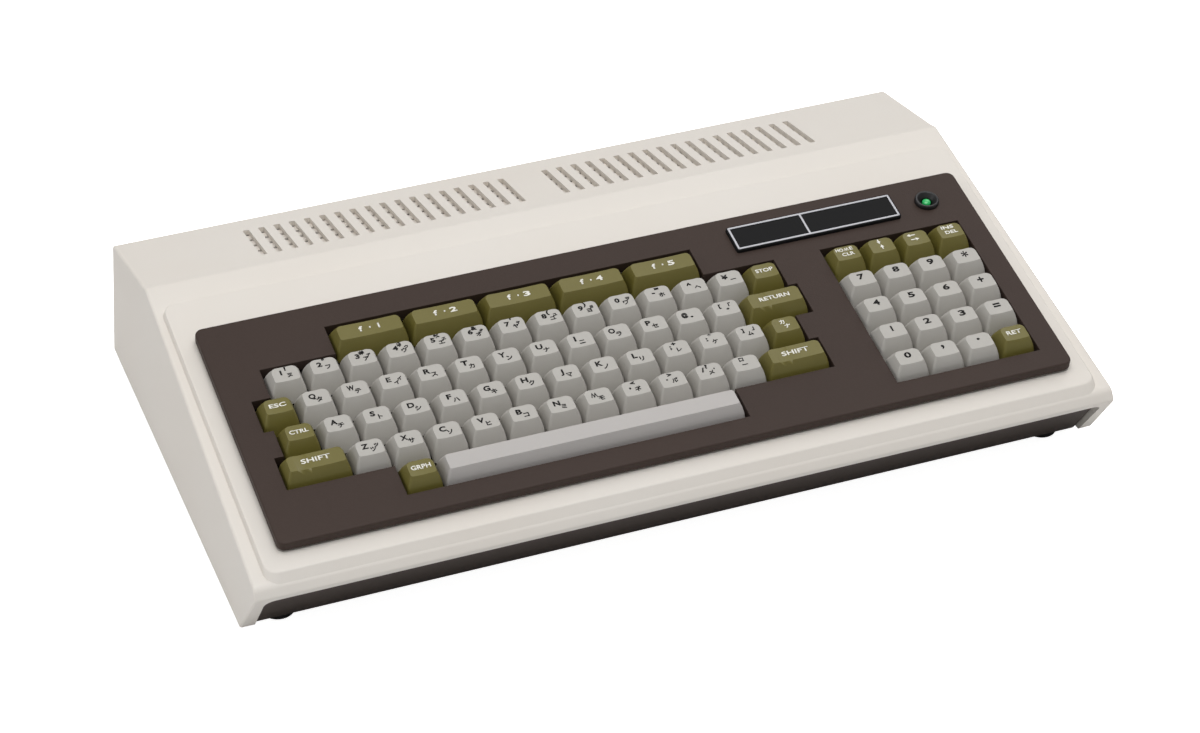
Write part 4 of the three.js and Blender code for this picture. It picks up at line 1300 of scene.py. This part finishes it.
socketShape = {
    "places": (3.6, 33.6),
    "axis": 25.2,
    "face": 123.2,
    "shell": (6.35, 5.85),
    "shellDepth": 8.6,
    "core": 5.2,
    "coreTop": 6.0,
    "bore": 9.0,
    "pinCircle": 3.3,
    "pinHole": 0.8,
    "pins": 5,
    "rim": 0.15,
    "lip": (0.9, 0.7),
}


def modelSockets():
    s = socketShape
    body = mergedCopy("rear_sockets")
    body.data.materials.append(blackPlastic)
    outer, inner = s["shell"]
    low, (edge, top) = -s["shellDepth"], s["lip"]
    ring = [
        (inner, low), (outer, low), (outer, -edge), (outer - s["rim"], -top), (inner + s["rim"], -top),
        (inner, -edge), (inner, low),
    ]
    added = []
    for x in s["places"]:
        spot = rearward(x, s["face"], s["axis"])
        shell = turned("socketShell", ring)
        shell.data.materials.append(bareSteel)
        smooth(shell)
        added.append(settle(shell, spot))
        core = rod("socketCore", s["core"], s["bore"] - s["coreTop"], (0, 0, -(s["bore"] + s["coreTop"]) / 2))
        for k in range(s["pins"]):
            angle = math.pi * k / (s["pins"] - 1)
            at = (s["pinCircle"] * math.cos(angle), -s["pinCircle"] * math.sin(angle), -s["coreTop"])
            cutWith(core, rod("pinHole", s["pinHole"], 4, at, sides=16))
        core.data.materials.append(blackPlastic)
        smooth(core)
        added.append(settle(core, spot))
    joinInto(body, added)
    wear(body, "black_plastic", "case", "rear_sockets")


modelSockets()
print("sockets")

controlShape = {
    "rockerEdge": 0.4,
    "resetX": 70.8,
    "resetHeight": 22.1,
    "resetEdge": 0.5,
    "resetFace": 129.2,
    "resetInner": 117.1,
    "collar": (122.1, 123.2),
    "collarRadius": 4.1,
    "capRadius": 3.0,
    "stemRadius": 1.5,
}


def modelControls():
    s = controlShape
    rocker = mergedCopy("power_switch")
    softEdges(rocker, s["rockerEdge"], 3, 35)
    smooth(rocker)
    dress(rocker, blackPlastic, "black_plastic", "rocker", "power_switch")
    # stem, collar and cap of the reset button, turned in one
    inner, face, (low, high) = s["resetInner"], s["resetFace"], s["collar"]
    stem, collar, cap, edge = s["stemRadius"], s["collarRadius"], s["capRadius"], s["resetEdge"]
    button = turned("resetButton", [
        (0, inner), (stem, inner), (stem, low), (collar, low), (collar, high), (cap, high),
        (cap, face - edge), (cap - 0.15, face - 0.15), (cap - edge, face), (0, face - 0.2),
    ])
    smooth(button)
    settle(button, rearward(s["resetX"], 0, s["resetHeight"]))
    dress(button, blackPlastic, "black_plastic", "reset", "reset_button")


modelControls()
print("rear controls")

supplyShape = {
    "edge": 0.4, "baseTop": 10.3, "cansRear": 54.0, "coreLeft": 140.0, "coreLow": 5.0, "coreTop": 45.0,
}


def modelSupply():
    s = supplyShape
    supply = mergedCopy("power_supply")
    softEdges(supply, s["edge"], 1, 60)
    smooth(supply, 35)

    def chooser(c, n):  # the cans are black, the windings gold, the rest bare
        if c.z > s["baseTop"] + 0.3 and c.y < s["cansRear"]:
            return 1
        wound = s["baseTop"] + s["coreLow"] < c.z < s["coreTop"] and c.x > s["coreLeft"]
        return 2 if wound and abs(n.y) + abs(n.z) > facing else 0

    paint(supply, (bareSteel, blackPlastic, goldContact), chooser)
    wear(supply, "plate_steel", "case", "power_supply")


modelSupply()
coat(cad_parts["keyboard_board"], boardGreen)
print("inner pieces")

# floor, lamps and world
stageValues = {
    "floor": (236, 236, 236),
    "floorSize": 8.0,
    "floorGlow": 0.93,
    "world": 0.28,
    "lamps": {  # place, width and power
        "rearLamp": ((1.7, 1.3, 2.0), 1.8, 15.9),
        "overheadLamp": ((-0.1, -0.55, 2.6), 2.2, 47.7),
        "leftLamp": ((-2.2, 0.2, 0.9), 1.6, 8.7),
    },
}


def addLamp(name, spot, size, power):  # a square lamp that points at the middle of the table
    data = bpy.data.lights.new(name, "AREA")
    data.shape = "SQUARE"
    data.size = size
    data.energy = power
    lamp = newObject(name, data)
    lamp.location = spot
    lamp.rotation_mode = "QUATERNION"
    lamp.rotation_quaternion = (-Vector(spot)).to_track_quat("-Z", "Y")


def setStage():
    s = stageValues
    floor = sheet(s["floorSize"])
    floor.name = "floor"
    material = bpy.data.materials.new("floorPaper")
    material.use_nodes = True
    tree = material.node_tree
    shader = tree.nodes["Principled BSDF"]
    setInputs(shader, {
        "Base Color": linear(*s["floor"]), "Roughness": 0.9, "Specular IOR Level": 0.0,
        "Emission Color": (1, 1, 1, 1),
    })
    light = tree.nodes.new("ShaderNodeLightPath")
    scale = tree.nodes.new("ShaderNodeMath")
    scale.operation = "MULTIPLY"
    setInputs(scale, {1: s["floorGlow"]})
    wire(tree, (light, "Is Camera Ray", scale, 0), (scale, "Value", shader, "Emission Strength"))
    floor.data.materials.append(material)
    world = bpy.data.worlds.new("studio")
    bpy.context.scene.world = world
    world.use_nodes = True
    tree = world.node_tree
    plain = tree.nodes["Background"]
    setInputs(plain, {"Color": (1, 1, 1, 1), "Strength": s["world"]})
    white = tree.nodes.new("ShaderNodeBackground")
    setInputs(white, {"Color": (1, 1, 1, 1)})
    path = tree.nodes.new("ShaderNodeLightPath")
    mix = tree.nodes.new("ShaderNodeMixShader")
    wire(
        tree,
        (path, "Is Camera Ray", mix, "Fac"),
        (plain, "Background", mix, 1),
        (white, "Background", mix, 2),
        (mix, "Shader", tree.nodes["World Output"], "Surface"),
    )
    for name, values in s["lamps"].items():
        addLamp(name, *values)
    bpy.context.scene.view_settings.view_transform = "Standard"


setStage()
print("stage")
